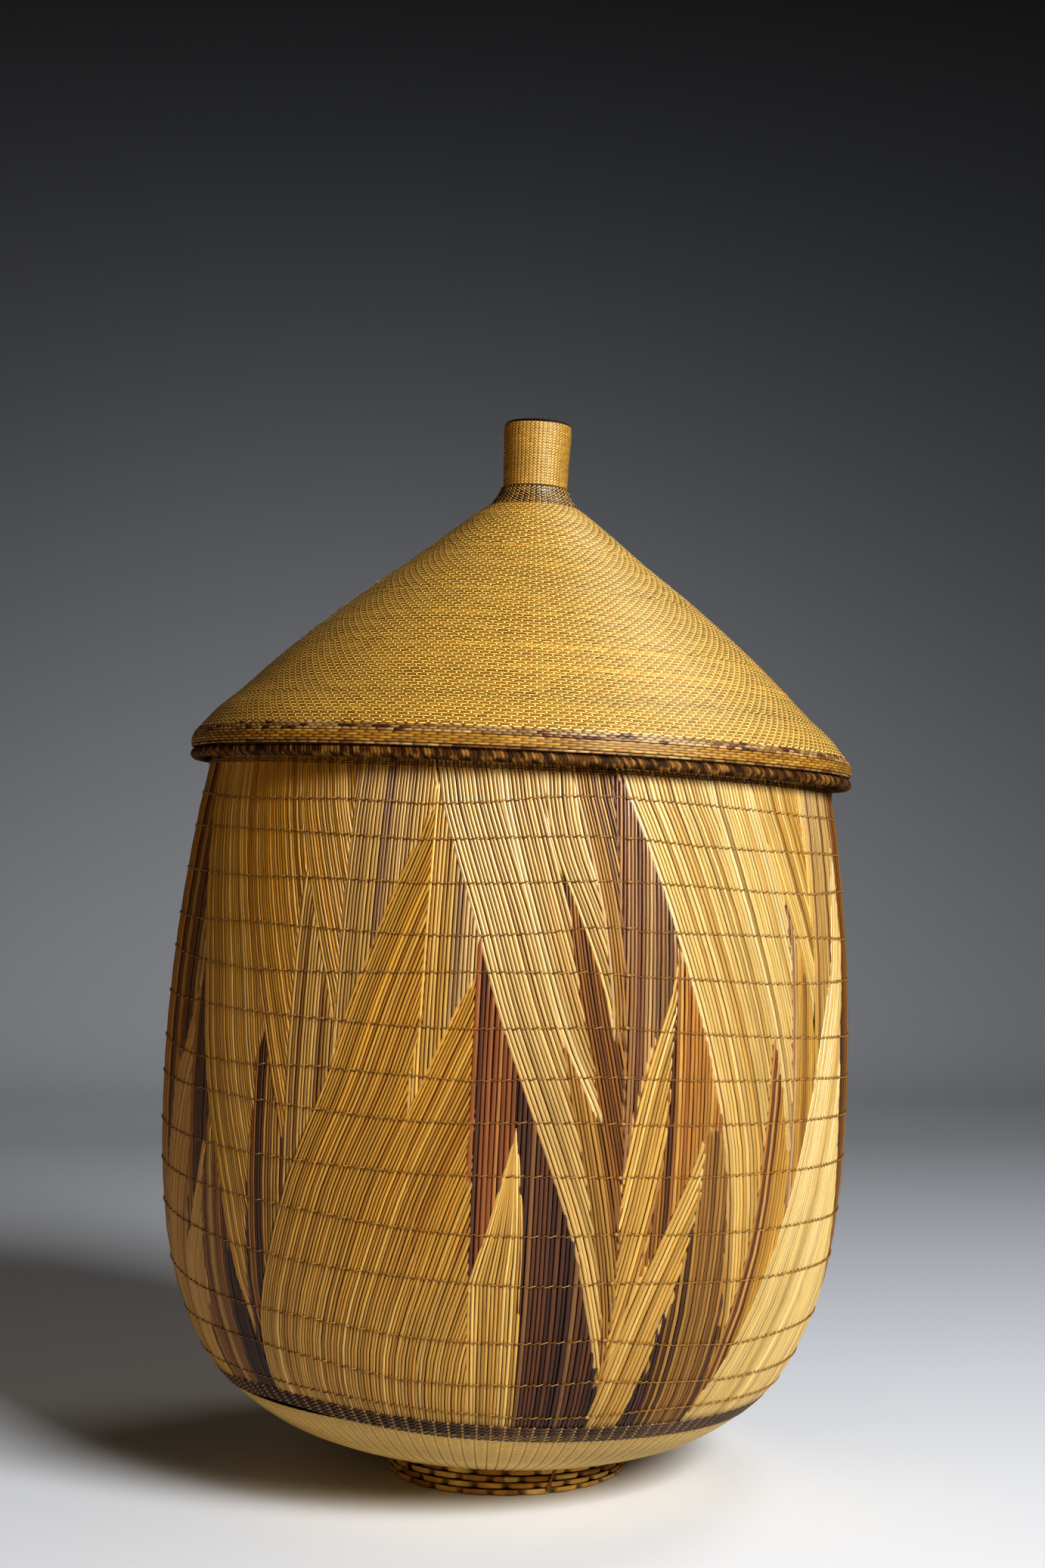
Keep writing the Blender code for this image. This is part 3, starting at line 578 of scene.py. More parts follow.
# %% The edges, from the left side round to the right
EDGES = {
    "v0": ((-67.5, 358), (-67.5, 340), (-67.5, 268), (-67, 195)),
    "q1": ((-69, 358), (-67, 328), (-64.5, 308), (-63, 288), (-60.5, 268), (-58.5, 248), (-57.5,
        228), (-56.5, 209), (-54.5, 189), (-53, 169), (-50.5, 150), (-49, 130), (-48, 110), (-46, 91),
        (-44, 73)),
    "w": ((-59, 243), (-61, 228), (-63, 215), (-64.5, 205), (-66.5, 198), (-68.5, 178), (-71.5,
        150), (-75.5, 110), (-79, 70), (-79, 38)),
    "wr": ((-59, 243), (-60, 228), (-60, 150), (-61.5, 122), (-63, 102), (-65.5, 71), (-66, 39)),
    "x1": ((-54.5, 165), (-55.5, 153), (-57, 144), (-59, 132), (-60, 121), (-61.5, 114), (-63, 102),
        (-65.5, 71), (-66, 39)),
    "x1r": ((-54.5, 165), (-55.5, 137), (-56, 106), (-56.5, 87), (-59.5, 72), (-60, 39)),
    "q1b": ((-54, 357), (-47.5, 287), (-40.5, 219), (-39, 204), (-38, 192), (-36.5, 177), (-35.5,
        172)),
    "t": ((-40.5, 219), (-42, 208), (-42, 188), (-43, 149), (-43.5, 120), (-44, 93), (-44, 73)),
    "q2": ((-41.5, 356), (-37.5, 318), (-33.5, 283), (-32, 269), (-30, 251), (-27.25, 228)),
    "s": ((-35.5, 296), (-35.5, 172)),
    "a": ((-29, 356), (-27.75, 326), (-27.25, 232), (-27.25, 212)),
    "b": ((-14.25, 355), (-13.75, 331), (-19.5, 284), (-24.5, 239), (-28.75, 193), (-30, 185), (-33,
        167), (-35.5, 145), (-38, 122), (-39.5, 106), (-41.5, 91), (-43, 77), (-44, 66), (-44, 39)),
    "br": ((-13.75, 331), (-13.25, 306), (-13.25, 227), (-14.25, 208), (-14.75, 184), (-13.75, 149),
        (-12.25, 110), (-12.25, 39)),
    "e": ((-5.75, 250), (-8.75, 231), (-10.75, 215), (-13.25, 196), (-14.75, 184)),
    "d": ((-5, 271), (-5.25, 250), (-5, 227), (-4.5, 149), (-4.25, 112)),
    "eg": ((-4.25, 112), (-4.25, 39)),
    "g": ((2, 183), (0.5, 165), (-1.75, 136), (-4.25, 112)),
    "gr": ((2, 183), (2.75, 165), (3.5, 145), (4, 126), (4.25, 39)),
    "f": ((-15, 355), (-14.25, 347), (-12, 329), (-9.75, 310), (-5, 271), (-3, 246), (-0.5, 227),
        (1.75, 208), (4.5, 188), (7.25, 165), (9.75, 145), (12.25, 124), (14, 98), (16, 81), (18, 65),
        (18.25, 39)),
    "f3": ((-4.75, 355), (1, 296), (4.5, 262), (7.75, 229), (10, 212), (11.25, 204), (13, 196),
        (14.75, 187), (15.75, 174)),
    "f1r": ((7.75, 229), (9, 212), (10, 196), (11.25, 180), (12.75, 161), (14.25, 137), (15, 126),
        (16.5, 102), (18, 67)),
    "f2": ((3.5, 355), (5, 318), (8, 298), (11.25, 276), (13.75, 254), (15, 243), (16, 233)),
    "i": ((8, 298), (9, 274), (9.75, 258), (10.75, 243), (11.75, 229), (13, 212), (14.25, 196), (15,
        182), (15.75, 174), (16.5, 165), (18, 141)),
    "h": ((7.75, 355), (9.25, 341), (10.75, 323), (12, 310), (14, 284), (14.75, 266), (15.5, 250),
        (16, 239), (16, 233)),
    "seam": ((15, 355), (16, 325), (16.5, 298), (17.25, 266), (17.75, 231), (18.25, 188), (18.5,
        161), (18.75, 122), (18.75, 87), (18.25, 39)),
    "j": ((15.25, 355), (18, 341), (19.5, 329), (22, 312), (24.5, 292), (26.25, 270), (27.25, 266)),
    "l": ((26.5, 268), (26.25, 256), (24, 235), (21.5, 214), (19.75, 188), (18.5, 165)),
    "lr": ((26.5, 268), (26.25, 247), (25.5, 212), (25.25, 188), (24.5, 161), (23.5, 141), (22.5,
        112)),
    "n": ((32.5, 180), (29.25, 161), (25.25, 132), (22.5, 112), (20, 87), (18.25, 56)),
    "nr": ((32.5, 180), (31.5, 145), (30.5, 130), (29.25, 110), (27.75, 94), (26.75, 71), (25.25,
        52), (24.75, 39)),
    "k": ((15.25, 355), (18, 341), (19.5, 329), (24.5, 292), (27.25, 266), (29.75, 247), (32, 224),
        (34, 200), (35.5, 188), (36, 173), (37, 161), (37, 149), (37.5, 138), (38, 122), (38.5, 110),
        (39, 98), (39.5, 87), (40, 66), (40, 39)),
    "k1b": ((32, 356), (40, 285), (46.5, 228), (48, 212), (49, 196), (50, 181), (51.5, 164)),
    "k2": ((42, 356), (49.5, 296), (51, 285), (53, 276), (54, 268), (55, 260), (56, 252), (56.5,
        244), (57.5, 236)),
    "z1": ((49.5, 296), (50, 285), (51, 268), (51, 248), (51, 228), (51.5, 188), (51, 138)),
    "z2": ((46.5, 228), (45.5, 224), (45.5, 204), (45, 188), (44.5, 173), (44, 165), (44, 149),
        (43.5, 136), (43, 126), (42.5, 114), (42, 106), (41, 96), (41, 85), (40.5, 75), (40, 66), (40,
        39)),
    "aa": ((56, 357), (56.5, 339), (57.5, 319), (57.5, 292), (58.5, 276), (58.5, 254), (57.5, 236),
        (58, 220), (58.5, 205)),
    "p": ((70.5, 358), (71, 329), (68.5, 302), (66.5, 272), (65.5, 258), (63.5, 245), (61, 233),
        (59.5, 218), (58.5, 205), (57, 194), (56.5, 189), (54.5, 169), (53.5, 158), (51, 138), (49.5,
        123), (48, 112), (46.5, 100), (45, 88), (43.5, 70), (41, 54), (40, 39)),
    "pr": ((71, 329), (72.5, 306), (72.5, 288), (73.5, 276), (72.5, 264), (73, 251), (71.5, 235),
        (71, 217), (71.5, 208), (71, 191), (73.5, 150), (77, 110), (82, 70), (85, 38)),
    "v1": ((104, 270), (101, 220), (97, 160), (93, 110), (90, 60), (89, 39)),
    "v1r": ((104, 270), (106, 200), (110, 110), (112, 39)),
    "v2": ((130, 190), (127, 150), (123, 110), (119, 60), (118, 39)),
    "v2r": ((130, 190), (133, 130), (138, 60), (139, 39)),
    "m1": ((118, 375), (130, 300), (142, 220), (152, 140), (158, 80), (160, 39)),
    "m2": ((118, 375), (134, 300), (150, 220), (163, 140), (169, 100), (169, 39)),
    "u1": ((181, 262), (178, 220), (175, 160), (172, 110), (170, 60), (170, 39)),
    "u2": ((181, 262), (184, 190), (190, 110), (194, 39)),
    "y1": ((212, 185), (208, 140), (203, 90), (200, 39)),
    "y2": ((212, 185), (216, 120), (222, 39)),
    "n1": ((199, 375), (211, 300), (223, 220), (233, 140), (239, 80), (241, 39)),
    "n2": ((199, 375), (215, 300), (231, 220), (244, 140), (250, 100), (250, 39)),
    "back_a": ((88, 375), (88, 333), (102, 301), (114, 258), (127, 211), (140, 168), (154, 122),
        (169, 75), (169, 39)),
    "back_b": ((169, 375), (169, 333), (183, 301), (196, 258), (209, 211), (222, 168), (236, 122),
        (250, 75), (250, 39)),
}
EDGES["be"] = ((-21.2, 250), (-24.2, 231), (-26.2, 215), (-28.7, 196), (-30.2, 184), *EDGES["b"][6:])
EDGES["lg"] = (*EDGES["l"], (15.5, 120), (12.5, 75), (11.5, 60))
EDGES["ng"] = (*EDGES["n"], (17, 39))
HEIGHTS = np.arange(36.0, 378.0, 1.0)
EDGE_WINDOW = 9
GUIDE_WINDOW = 45


def evened(line, window, **padding):
    """The mean of a window of neighbours at every height."""
    padded = np.pad(line, window // 2, **padding)
    return np.convolve(padded, np.ones(window) / window, mode="valid")


def edge_angles(edge):
    """A boundary's angle at every height. It is a fixed angle, an edge's name, or names and
    angles with the heights where one gives way to the next, from the top down."""
    if isinstance(edge, (int, float)):
        return np.full(len(HEIGHTS), float(edge))
    if isinstance(edge, str):
        angles, heights = np.array(EDGES[edge], float).T
        order = np.argsort(heights)
        line = np.interp(HEIGHTS, heights[order], angles[order])
        return evened(line, EDGE_WINDOW, mode="edge")
    line = edge_angles(edge[-1])
    for k in range(len(edge) - 2, 0, -2):
        line = np.where(HEIGHTS > edge[k], edge_angles(edge[k - 1]), line)
    return line


def guide_angles(edge):
    """An edge evened out over a longer stretch, and carried on straight at its ends."""
    return evened(edge_angles(edge), GUIDE_WINDOW, mode="reflect", reflect_type="odd")


print(len(EDGES), "edges")

# %% [markdown]
# ## Twining rows and the dark band, where they run
#
# Fourteen thin cords go round the wall. They wander, and each steps a little at the seam, where
# it was started and tied off. Their heights are given at a few angles on either side of the
# seam, and straight lines join these round the back. The dark band's two edges are given the
# same way.

# %% Heights of the rows and of the band
ROW_ANGLES = (-78, -60, -45, -30, -15, -5, 5, 12, 17), (19.5, 30, 45, 60, 75)
ROW_HEIGHTS = (
    ((50, 50, 50, 48.5, 47, 46, 45, 45, 45.5), (46, 48, 48, 47.5, 47)),
    ((69.5, 69.5, 69, 65.5, 61, 61, 62, 63, 64.5), (64.5, 63, 61, 61, 61)),
    ((94, 89, 87, 86, 83, 82.5, 83, 84.5, 85.5), (85, 82, 79.5, 81.5, 82)),
    ((123.5, 119.5, 115.5, 113, 112, 111, 110.5, 111.5, 113), (113, 112.5, 111.5, 112, 111.5)),
    ((145, 142, 140, 138, 134.5, 133.5, 134, 135, 136), (136, 135.5, 135.5, 136, 135)),
    ((165.5, 163, 161.5, 161, 160.5, 161, 162, 162.5, 162.5), (163, 162.5, 163, 163, 163)),
    ((190, 188, 187.5, 186, 184.5, 185, 187, 187.5, 187.5), (187, 187, 187, 187, 186)),
    ((208.5, 203.5, 203.5, 206, 205.5, 204.5, 207, 208.5, 209), (208.5, 208, 207.5, 207, 205)),
    ((231.5, 230, 229, 228.5, 228, 228.5, 230.5, 231.5, 232), (231.5, 230, 228.5, 227, 226)),
    ((255, 250.5, 249, 250.5, 253, 255, 256, 257, 256.5), (256, 255.5, 254, 254, 254.5)),
    ((272, 270.5, 272, 271, 270.5, 271.5, 274.5, 278, 278.5), (277, 277, 277, 276.5, 275.5)),
    ((296, 294, 294, 295, 294.5, 296, 298, 299.5, 300), (300, 299.5, 298, 298, 300)),
    ((318, 317, 317, 316, 315, 317, 319.5, 320.5, 320.5), (320.5, 318.5, 318, 318.5, 318.5)),
    ((335.5, 332, 332, 333, 332, 334, 338, 339.5, 339.5), (339, 338.5, 337.5, 336.5, 337)),
)
BAND_ANGLES = (-67, -58, -49, -39, -29, -19, -10, 0, 10, 29, 58, 90, 140, 200, 250)
BAND_TOPS = (42, 43.5, 45, 44.5, 43, 41.5, 40.5, 40, 39.8, 39.8, 39.5, 39.5, 41, 42.5, 42)
BAND_LOWS = (34.2, 35.5, 37, 36.5, 34.5, 33, 31.8, 31.3, 31, 31.4, 31.7, 32, 33, 34.5, 34)
SEAM_ANGLE = 18.4


def read_round(angle, angles, heights):
    """The height at angles in degrees, on straight lines between points that go once round."""
    turned = (np.asarray(angle) - angles[0]) % 360 + angles[0]
    return np.interp(turned, angles, heights)


def row_height(row, angle):
    """The height of a row: it runs from the seam round the back and on to the seam's left."""
    left, right = ROW_HEIGHTS[row]
    return read_round(angle, ROW_ANGLES[1] + tuple(360 + a for a in ROW_ANGLES[0]), right + left)


def band_height(heights, angle):
    """The band's top or bottom, joined up round the back."""
    return read_round(angle, BAND_ANGLES + (BAND_ANGLES[0] + 360,), heights + heights[:1])


# %% [markdown]
# ## The stalk panels
#
# A stalk is a tube of eight-sided rings that follows a line down the wall. In a straight panel
# the lines keep their angle. In a slanted one they are copies of a guide line, set side by side,
# and the panel's edges cut them to a saw-tooth. In a fan they spread out evenly between both
# edges. A cut end is tucked under the next panel. The guide line is the panel's left edge, or
# the one that stands last in its row of the table. Panels with a guide of their own share their
# widths and shades, so the two golden ones of the front are copies of one family of lines.
# Where a cord ties the stalks they are drawn in a little.
#
# Every line is known at each millimetre of height, as a table of lines by heights, so cutting
# the stalks at the edges is a comparison of whole tables.
#
# Angles are in degrees and lengths in millimetres. A cut end runs on by TUCK under the next
# panel, sinks by CUT_SINK over its last CUT_EASE and is darker there by CUT_PAINTED_SHADE: painted
# shadow where it tucks under. A stalk is OVERLAP times its spacing wide on either side, so that
# neighbours touch, and its sides and back are darker by SIDE_PAINTED_SHADE and BACK_PAINTED_SHADE:
# painted shade in the gaps between stalks. LIFTS are how far single stalks may stand in or out, and
# MARGIN is how far their middles may pass an edge.

# %% Which panels there are
TOP, LOW = 377, 36
PANELS = {
    "panel_01_brown": (
        ("straight", -110, ("v0", 198, "w"), LOW, TOP,
         (("umber", -88), ("amber", -72), ("purple", -70.8), ("umber", 0))),
    ),
    "panel_02_gold": (
        ("slant", "w", "wr", LOW, 243, "gold"),
    ),
    "panel_03_dark": (
        ("straight", "v0", ("q1", 243, "w"), 198, TOP, (("umber", -65.5), ("brown", -62), ("tan", 0))),
        ("straight", "wr", ("q1", 175, "x1"), 102, 243, (("brown", -58.5), ("purple", 0))),
    ),
    "panel_04_brown": (
        ("slant", "x1", "x1r", LOW, 165, "straw"),
        ("straight", "x1r", ("q1", 110, -49.5), LOW, 175,
         (("brown", -54), ("tan", -51.5), ("brown", 0))),
        ("straight", -49.5, "q1", LOW, 118, "purple"),
    ),
    "panel_05_pale": (
        ("slant", "q1", ("q1b", 219, "t"), 66, TOP, "straw"),
        ("slant", "q1b", ("q2", 296, "s"), 170, TOP, "gold"),
        ("slant", "q2", "a", 226, TOP, "gold"),
    ),
    "panel_06_brown": (
        ("straight", "s", ("q2", 228, "b"), 140, 298, "tan"),
        ("straight", "t", ("q1b", 172, "s", 145, "b"), 66, 221, (("brown", -39.5), ("umber", 0))),
    ),
    "panel_07_tan": (
        ("straight", "a", "b", 206, TOP,
         (("umber", -27.6), ("tan", -22.5), ("auburn", -20.8), ("tan", -16), ("straw", 0))),
    ),
    "panel_08_gold": (
        ("slant", "b", "br", LOW, 331, "gold to straw", "b"),
    ),
    "panel_09_tan": (
        ("straight", ("b", 331, "br"), ("f", 271, -5.25, 250, "e"), 184, TOP,
         (("straw", -9), ("cream", 0))),
    ),
    "panel_10_gold": (
        ("slant", ("e", 184, "br"), ("d", 112, "eg"), LOW, 250, "gold to straw", "be"),
        ("fan", ("g", 112, "eg"), "gr", LOW, 183, "straw"),
    ),
    "panel_11_dark": (
        ("straight", "d", ("f", 208, 2, 183, "g"), 112, 271, "red"),
        ("straight", (2, 183, "gr"), "f", LOW, 208, "dark"),
    ),
    "panel_12_pale": (
        ("slant", "f", ("f3", 229, "f1r"), 60, TOP, "flaxen"),
        ("slant", "f3", ("f2", 298, "i"), 172, TOP, "flaxen"),
        ("slant", "f2", "h", 231, TOP, "flaxen"),
    ),
    "panel_13_grey": (
        ("slant", "h", "seam", 226, TOP,
         (("drab", 10.6), ("umber", 11.2), ("auburn", 13.4), ("drab", 90))),
        ("slant", "i", ("f2", 233, "seam"), 141, 298, (("drab", 10), ("auburn", 12), ("brown", 90))),
        ("slant", "f1r", ("f3", 174, "i", 141, "seam"), 60, 229, (("brown", 13.5), ("umber", 90))),
    ),
    "panel_14_red_brown": (
        ("straight", "seam", ("j", 267, "l"), 165, TOP, (("russet", 21.0), ("auburn", 90))),
    ),
    "panel_15_gold": (
        ("slant", ("l", 165, "seam"), ("lr", 112, "n"), 60, 268, "straw", "lg"),
    ),
    "panel_16_orange": (
        ("straight", "lr", ("k", 182, "n"), 112, 267, (("brown", 26.9), ("amber", 99))),
    ),
    "panel_17_gold": (
        ("slant", ("n", 56, "seam"), "nr", LOW, 180, "straw", "ng"),
    ),
    "panel_18_grey": (
        ("straight", "nr", "k", LOW, 186, (("purple", 28.0), ("umber", 33.2), ("drab", 90))),
    ),
    "panel_19_pale": (
        ("slant", "k", ("k1b", 228, "z2"), LOW, TOP, "pale to honey"),
        ("slant", "k1b", ("k2", 296, "z1"), 162, TOP, "pale to honey"),
        ("slant", "k2", "aa", 234, TOP, "straw"),
    ),
    "panel_20_orange": (
        ("straight", "z1", ("k2", 236, "aa", 205, "p"), 138, 298, (("russet", 52.5), ("gold", 90))),
        ("slant", "z2", ("k1b", 164, "z1", 138, "p"), LOW, 228, (("amber", 46), ("gold", 90))),
    ),
    "panel_21_tan": (
        ("straight", "aa", "p", 205, TOP,
         (("straw", 60), ("tan", 65.8), ("umber", 66.8), ("tan", 90))),
    ),
    "panel_22_pale": (
        ("slant", "p", "pr", LOW, 329, "even"),
    ),
    "panel_23_brown": (
        ("straight", ("p", 329, "pr"), ("back_a", 270, "v1"), LOW, TOP,
         (("brown", 78), ("umber", 84), ("tan", 92), ("brown", 99), ("straw", 999))),
        ("slant", "v1", "v1r", LOW, 270, "gold"),
        ("straight", "v1r", ("back_a", 190, "v2"), LOW, 270, (("purple", 113), ("umber", 999))),
        ("slant", "v2", "v2r", LOW, 190, "straw"),
        ("straight", "v2r", "back_a", LOW, 190, (("dark", 142), ("brown", 999))),
    ),
    "panel_24_gold": (
        ("slant", "back_a", "m1", LOW, TOP, "straw"),
        ("straight", "m1", "m2", LOW, TOP, (("russet", 150), ("brown", 999))),
        ("slant", "m2", 169, 100, TOP, "gold"),
    ),
    "panel_25_brown": (
        ("straight", 169, ("back_b", 262, "u1"), LOW, TOP, (("umber", 176), ("brown", 999))),
        ("slant", "u1", "u2", LOW, 262, "gold"),
        ("straight", "u2", ("back_b", 185, "y1"), LOW, 262, (("red", 193), ("russet", 999))),
        ("slant", "y1", "y2", LOW, 185, "straw"),
        ("straight", "y2", "back_b", LOW, 185, (("purple", 222), ("umber", 999))),
    ),
    "panel_26_gold": (
        ("slant", "back_b", "n1", LOW, TOP, "straw"),
        ("straight", "n1", "n2", LOW, TOP, (("brown", 232), ("umber", 999))),
        ("slant", "n2", 250, 100, TOP, "gold"),
    ),
}

print(len(PANELS), "panels of", sum(len(parts) for parts in PANELS.values()), "parts")

# %% Lines, cuts and tubes of a panel
STALK_PITCH = 0.58
WIDE_PITCHES = {
    "panel_11_dark": 0.80, "panel_12_pale": 0.66, "panel_14_red_brown": 0.68,
    "panel_15_gold": 0.68, "panel_16_orange": 0.68, "panel_17_gold": 0.84, "panel_18_grey": 0.74,
    "panel_19_pale": 0.78, "panel_20_orange": 0.72, "panel_21_tan": 0.76, "panel_22_pale": 0.82,
}
STALK_DEPTH = 1.6
WIDTH_SPREAD = 0.82, 1.18
WIDTH_SEED, SHADE_SEED = 5, 6
SIDES = 8
MARGIN = 0.22
FAN_NARROWEST, FAN_ROOM = 0.45, 0.4
FAMILY_SPAN = 60
SHORTEST = 5
TUCK, CUT_SINK, CUT_EASE = 5, 1.0, 8
TIE_SINK = 0.2
TOP_GAP = 3
END_STEPS = 0, 4, 9
LIFTS = -0.22, 0.14
OVERLAP = 0.52
WANDER, WANDER_LENGTH, SHADE_LENGTH = 0.04, 23, 31
STREAK_SHIFT = 3.7
# Painted shade: how much darker a tube's sides and back are, as shade falls between stalks.
SIDE_PAINTED_SHADE, BACK_PAINTED_SHADE = 0.42, 0.5
# Painted shadow on tucked cut ends; the slow change is the stalk's own tone along its length.
CUT_PAINTED_SHADE, SLOW_SHADE = 0.2, 0.07


def panel_lines(mode, left, right, low, high, guide, family, pitch):
    """Tables of stalks by heights: each stalk's angle, its width and whether it is there."""
    inside = (HEIGHTS >= low) & (HEIGHTS <= high)
    if mode == "fan":
        room = np.where(inside, right - left, 0)
        count = int(room.max() / pitch)
        share = (np.arange(count)[:, None] + 0.5) / count
        width = np.maximum(room / count, FAN_NARROWEST) * np.ones((count, 1))
        return left + (right - left) * share, width, inside & (room > FAN_ROOM) & (share > 0)
    source = np.random.default_rng(WIDTH_SEED) if family else rng
    if mode == "straight":
        guide = np.full(len(HEIGHTS), left[inside].min())
    span = FAMILY_SPAN if family else (right - guide)[inside].max()
    widths = pitch * source.uniform(*WIDTH_SPREAD, int(span / pitch) + 5)
    offset = np.cumsum(widths) - widths / 2 - 2 * pitch * (mode == "slant")
    angle = guide + offset[:, None]
    there = inside & (angle > left - MARGIN) & (angle < right + MARGIN)
    return angle, widths[:, None] * np.ones(len(HEIGHTS)), there


def longest_run(there):
    """The first and last column of each row's longest unbroken run of true cells."""
    place = np.arange(there.shape[1])
    last_gap = np.maximum.accumulate(np.where(there, -1, place), axis=1)
    run = np.where(there, place - last_gap, 0)
    end = run.argmax(1)
    return end - run.max(1) + 1, end


def stalk_tones(sort, middles, source):
    """A tone for each stalk at each height. A sort may be a list of stripes, each with the
    angle where it ends, or a fade from one sort into another one down the wall."""
    if sort in FADES:
        upper, lower, low, high = FADES[sort]
        share = ease((HEIGHTS - low) / (high - low))[None, :, None]
        pair = [draw_tones(name, len(middles), source)[:, None] for name in (upper, lower)]
        return pair[0] * share + pair[1] * (1 - share)
    if isinstance(sort, str):
        tones = draw_tones(sort, len(middles), source)
    else:
        stripe = np.searchsorted([end for _, end in sort[:-1]], middles)
        tones = np.stack([draw_tones(name, len(middles), source) for name, _ in sort])
        tones = tones[stripe, np.arange(len(middles))]
    return np.repeat(tones[:, None], len(HEIGHTS), axis=1)


def ring_places(angle, first, last):
    """Where each stalk gets a ring: at its ties, midway between them and near its ends. Also
    which places are ties."""
    stalk, place = np.arange(len(angle)), np.arange(len(HEIGHTS))
    nearest = np.stack([
        np.abs(HEIGHTS - row_height(row, angle)).argmin(1) for row in range(len(ROW_HEIGHTS))])
    tied = np.zeros(angle.shape, bool)
    tied[stalk, nearest] = True
    keep = tied.copy()
    keep[stalk, (nearest[1:] + nearest[:-1]) // 2] = True
    keep &= (place > first[:, None] + CUT_EASE) & (place < last[:, None] - CUT_EASE)
    for step in END_STEPS:
        keep[stalk, np.minimum(first + step, last)] = True
        keep[stalk, np.maximum(last - step, first)] = True
    return keep, tied


def tube_faces(stalk, height):
    """Faces and coordinates of tubes that are stored ring after ring. Each ring is joined to
    the next one of the same stalk, and both ends are closed flat."""
    same = stalk[1:] == stalk[:-1]
    pairs = np.nonzero(same)[0]
    squares, corner = ring_faces(pairs * SIDES, (pairs + 1) * SIDES, SIDES)
    at = np.repeat(pairs, SIDES)[:, None] + corner[..., 1]
    uv = [np.stack([corner[..., 0] / SIDES + STREAK_SHIFT * stalk[at], height[at] * MM], axis=-1)]
    faces = [squares]
    cap = lid_faces(0, SIDES)
    for ends, turned in ((np.r_[True, ~same], cap[:, ::-1]), (np.r_[~same, True], cap)):
        caps = (np.nonzero(ends)[0][:, None, None] * SIDES + turned).reshape(-1, 4)
        at = caps // SIDES
        faces.append(caps)
        uv.append(np.stack([STREAK_SHIFT * stalk[at], height[at] * MM], axis=-1))
    return np.concatenate(faces), np.concatenate(uv)


def stalk_tubes(parts, pitch):
    """The points, faces, coordinates and tones of all the stalks of one panel."""
    pieces = []
    for mode, left, right, low, high, sort, *own_guide in parts:
        guide = guide_angles(own_guide[0] if own_guide else left)
        angle, width, there = panel_lines(mode, edge_angles(left), edge_angles(right), low, high,
                                          guide, bool(own_guide), pitch)
        first, last = longest_run(there)
        source = np.random.default_rng(SHADE_SEED) if own_guide else rng
        tone = stalk_tones(sort, angle[np.arange(len(angle)), (first + last) // 2], source)
        floor = np.searchsorted(HEIGHTS, band_height(BAND_TOPS, angle[:, 0]) - 1)
        long_enough = last - np.maximum(first, floor) > SHORTEST
        if not long_enough.any():
            continue
        angle, width, first, last, floor, tone = (
            table[long_enough] for table in (angle, width, first, last, floor, tone))
        roof = len(HEIGHTS) - TOP_GAP
        cut_low, cut_high = first > floor, last < roof - 2
        first = np.where(cut_low, first - TUCK, floor)
        last = np.minimum(np.where(cut_high, last + TUCK, roof), roof)
        keep, tied = ring_places(angle, first, last)
        i, k = np.nonzero(keep)
        sink = CUT_SINK * cut_low[i] * (1 - ease((k - first[i]) / CUT_EASE)) + TIE_SINK * tied[i, k]
        sink += CUT_SINK * cut_high[i] * (1 - ease((last[i] - k) / CUT_EASE))
        lift = rng.uniform(*LIFTS, len(angle))
        sway = rng.uniform(0, 2 * np.pi, len(angle))
        height = HEIGHTS[k]
        radius = body_radius(height) - STALK_DEPTH / 2 - sink + lift[i]
        wander = WANDER * np.sin(height / WANDER_LENGTH + sway[i])
        half = np.radians(width[i, k]) * radius * OVERLAP
        across = half[:, None] * np.cos(circle(SIDES))
        out = STALK_DEPTH / 2 * np.sin(circle(SIDES))
        centre = np.radians(angle[i, k] + wander)
        ring = standing(radius[:, None] + out, centre[:, None] + across / radius[:, None],
                        np.broadcast_to(height[:, None], across.shape))
        change = 1 + SLOW_SHADE * np.sin(height / SHADE_LENGTH + 2 * sway[i])
        # Painted shadow: a cut end is darker where it tucks under the next panel.
        change = change - CUT_PAINTED_SHADE * (sink > 0.8 * CUT_SINK)
        # Painted shade in the gaps between stalks: darker on the tube's sides and on its back.
        side = np.where(out > 0.1, 1.0, np.where(out < -0.1, BACK_PAINTED_SHADE, SIDE_PAINTED_SHADE))
        shade = change[:, None] * side
        tones = (tone[i, k][:, None] * shade[..., None]).reshape(-1, 3)
        pieces.append((ring.reshape(-1, 3), *tube_faces(i, height), tones))
    return join(pieces)


STALK = fibre_material("split stalk", 2.4, 55.0, 0.2, 0.3, specular=0.9, gloss=0.3)
for panel, parts in PANELS.items():
    colour = panel.split("_", 2)[2]
    tubes = stalk_tubes(parts, WIDE_PITCHES.get(panel, STALK_PITCH))
    add_piece(panel + "_stalks", *tubes, STALK, "basket", [panel], "stalk_" + colour)

# %% [markdown]
# ## Twining
#
# A twined cord is two strands that wind about each other, one passing outside the stalks while
# the other passes behind. A strand's path is a wave round the wall: its distance from the axis
# follows a flattened cosine, so that it lies along the outside and then along the inside, and
# its height follows a sine, so that each stitch slants. The two strands are half a wave apart.
# SQUARENESS is how flat the wave's crests are, and OUTSIDE_SHARE keeps a strand outside for a
# little longer than inside.

# %% Strands that wind round the wall
WINDS = 133
SQUARENESS, OUTSIDE_SHARE = 2.6, 0.22
ROW_CORD = {"size": 0.33, "out": 0.24, "inside": 2.4, "slant": 0.42}
TIGHT_CORD = {"size": 0.32, "out": 0.24, "inside": 2.4, "slant": 0.3}
BAND_CORD = {"size": 0.95, "out": 0.5, "inside": 0.5, "slant": 0.35, "steps": 12}


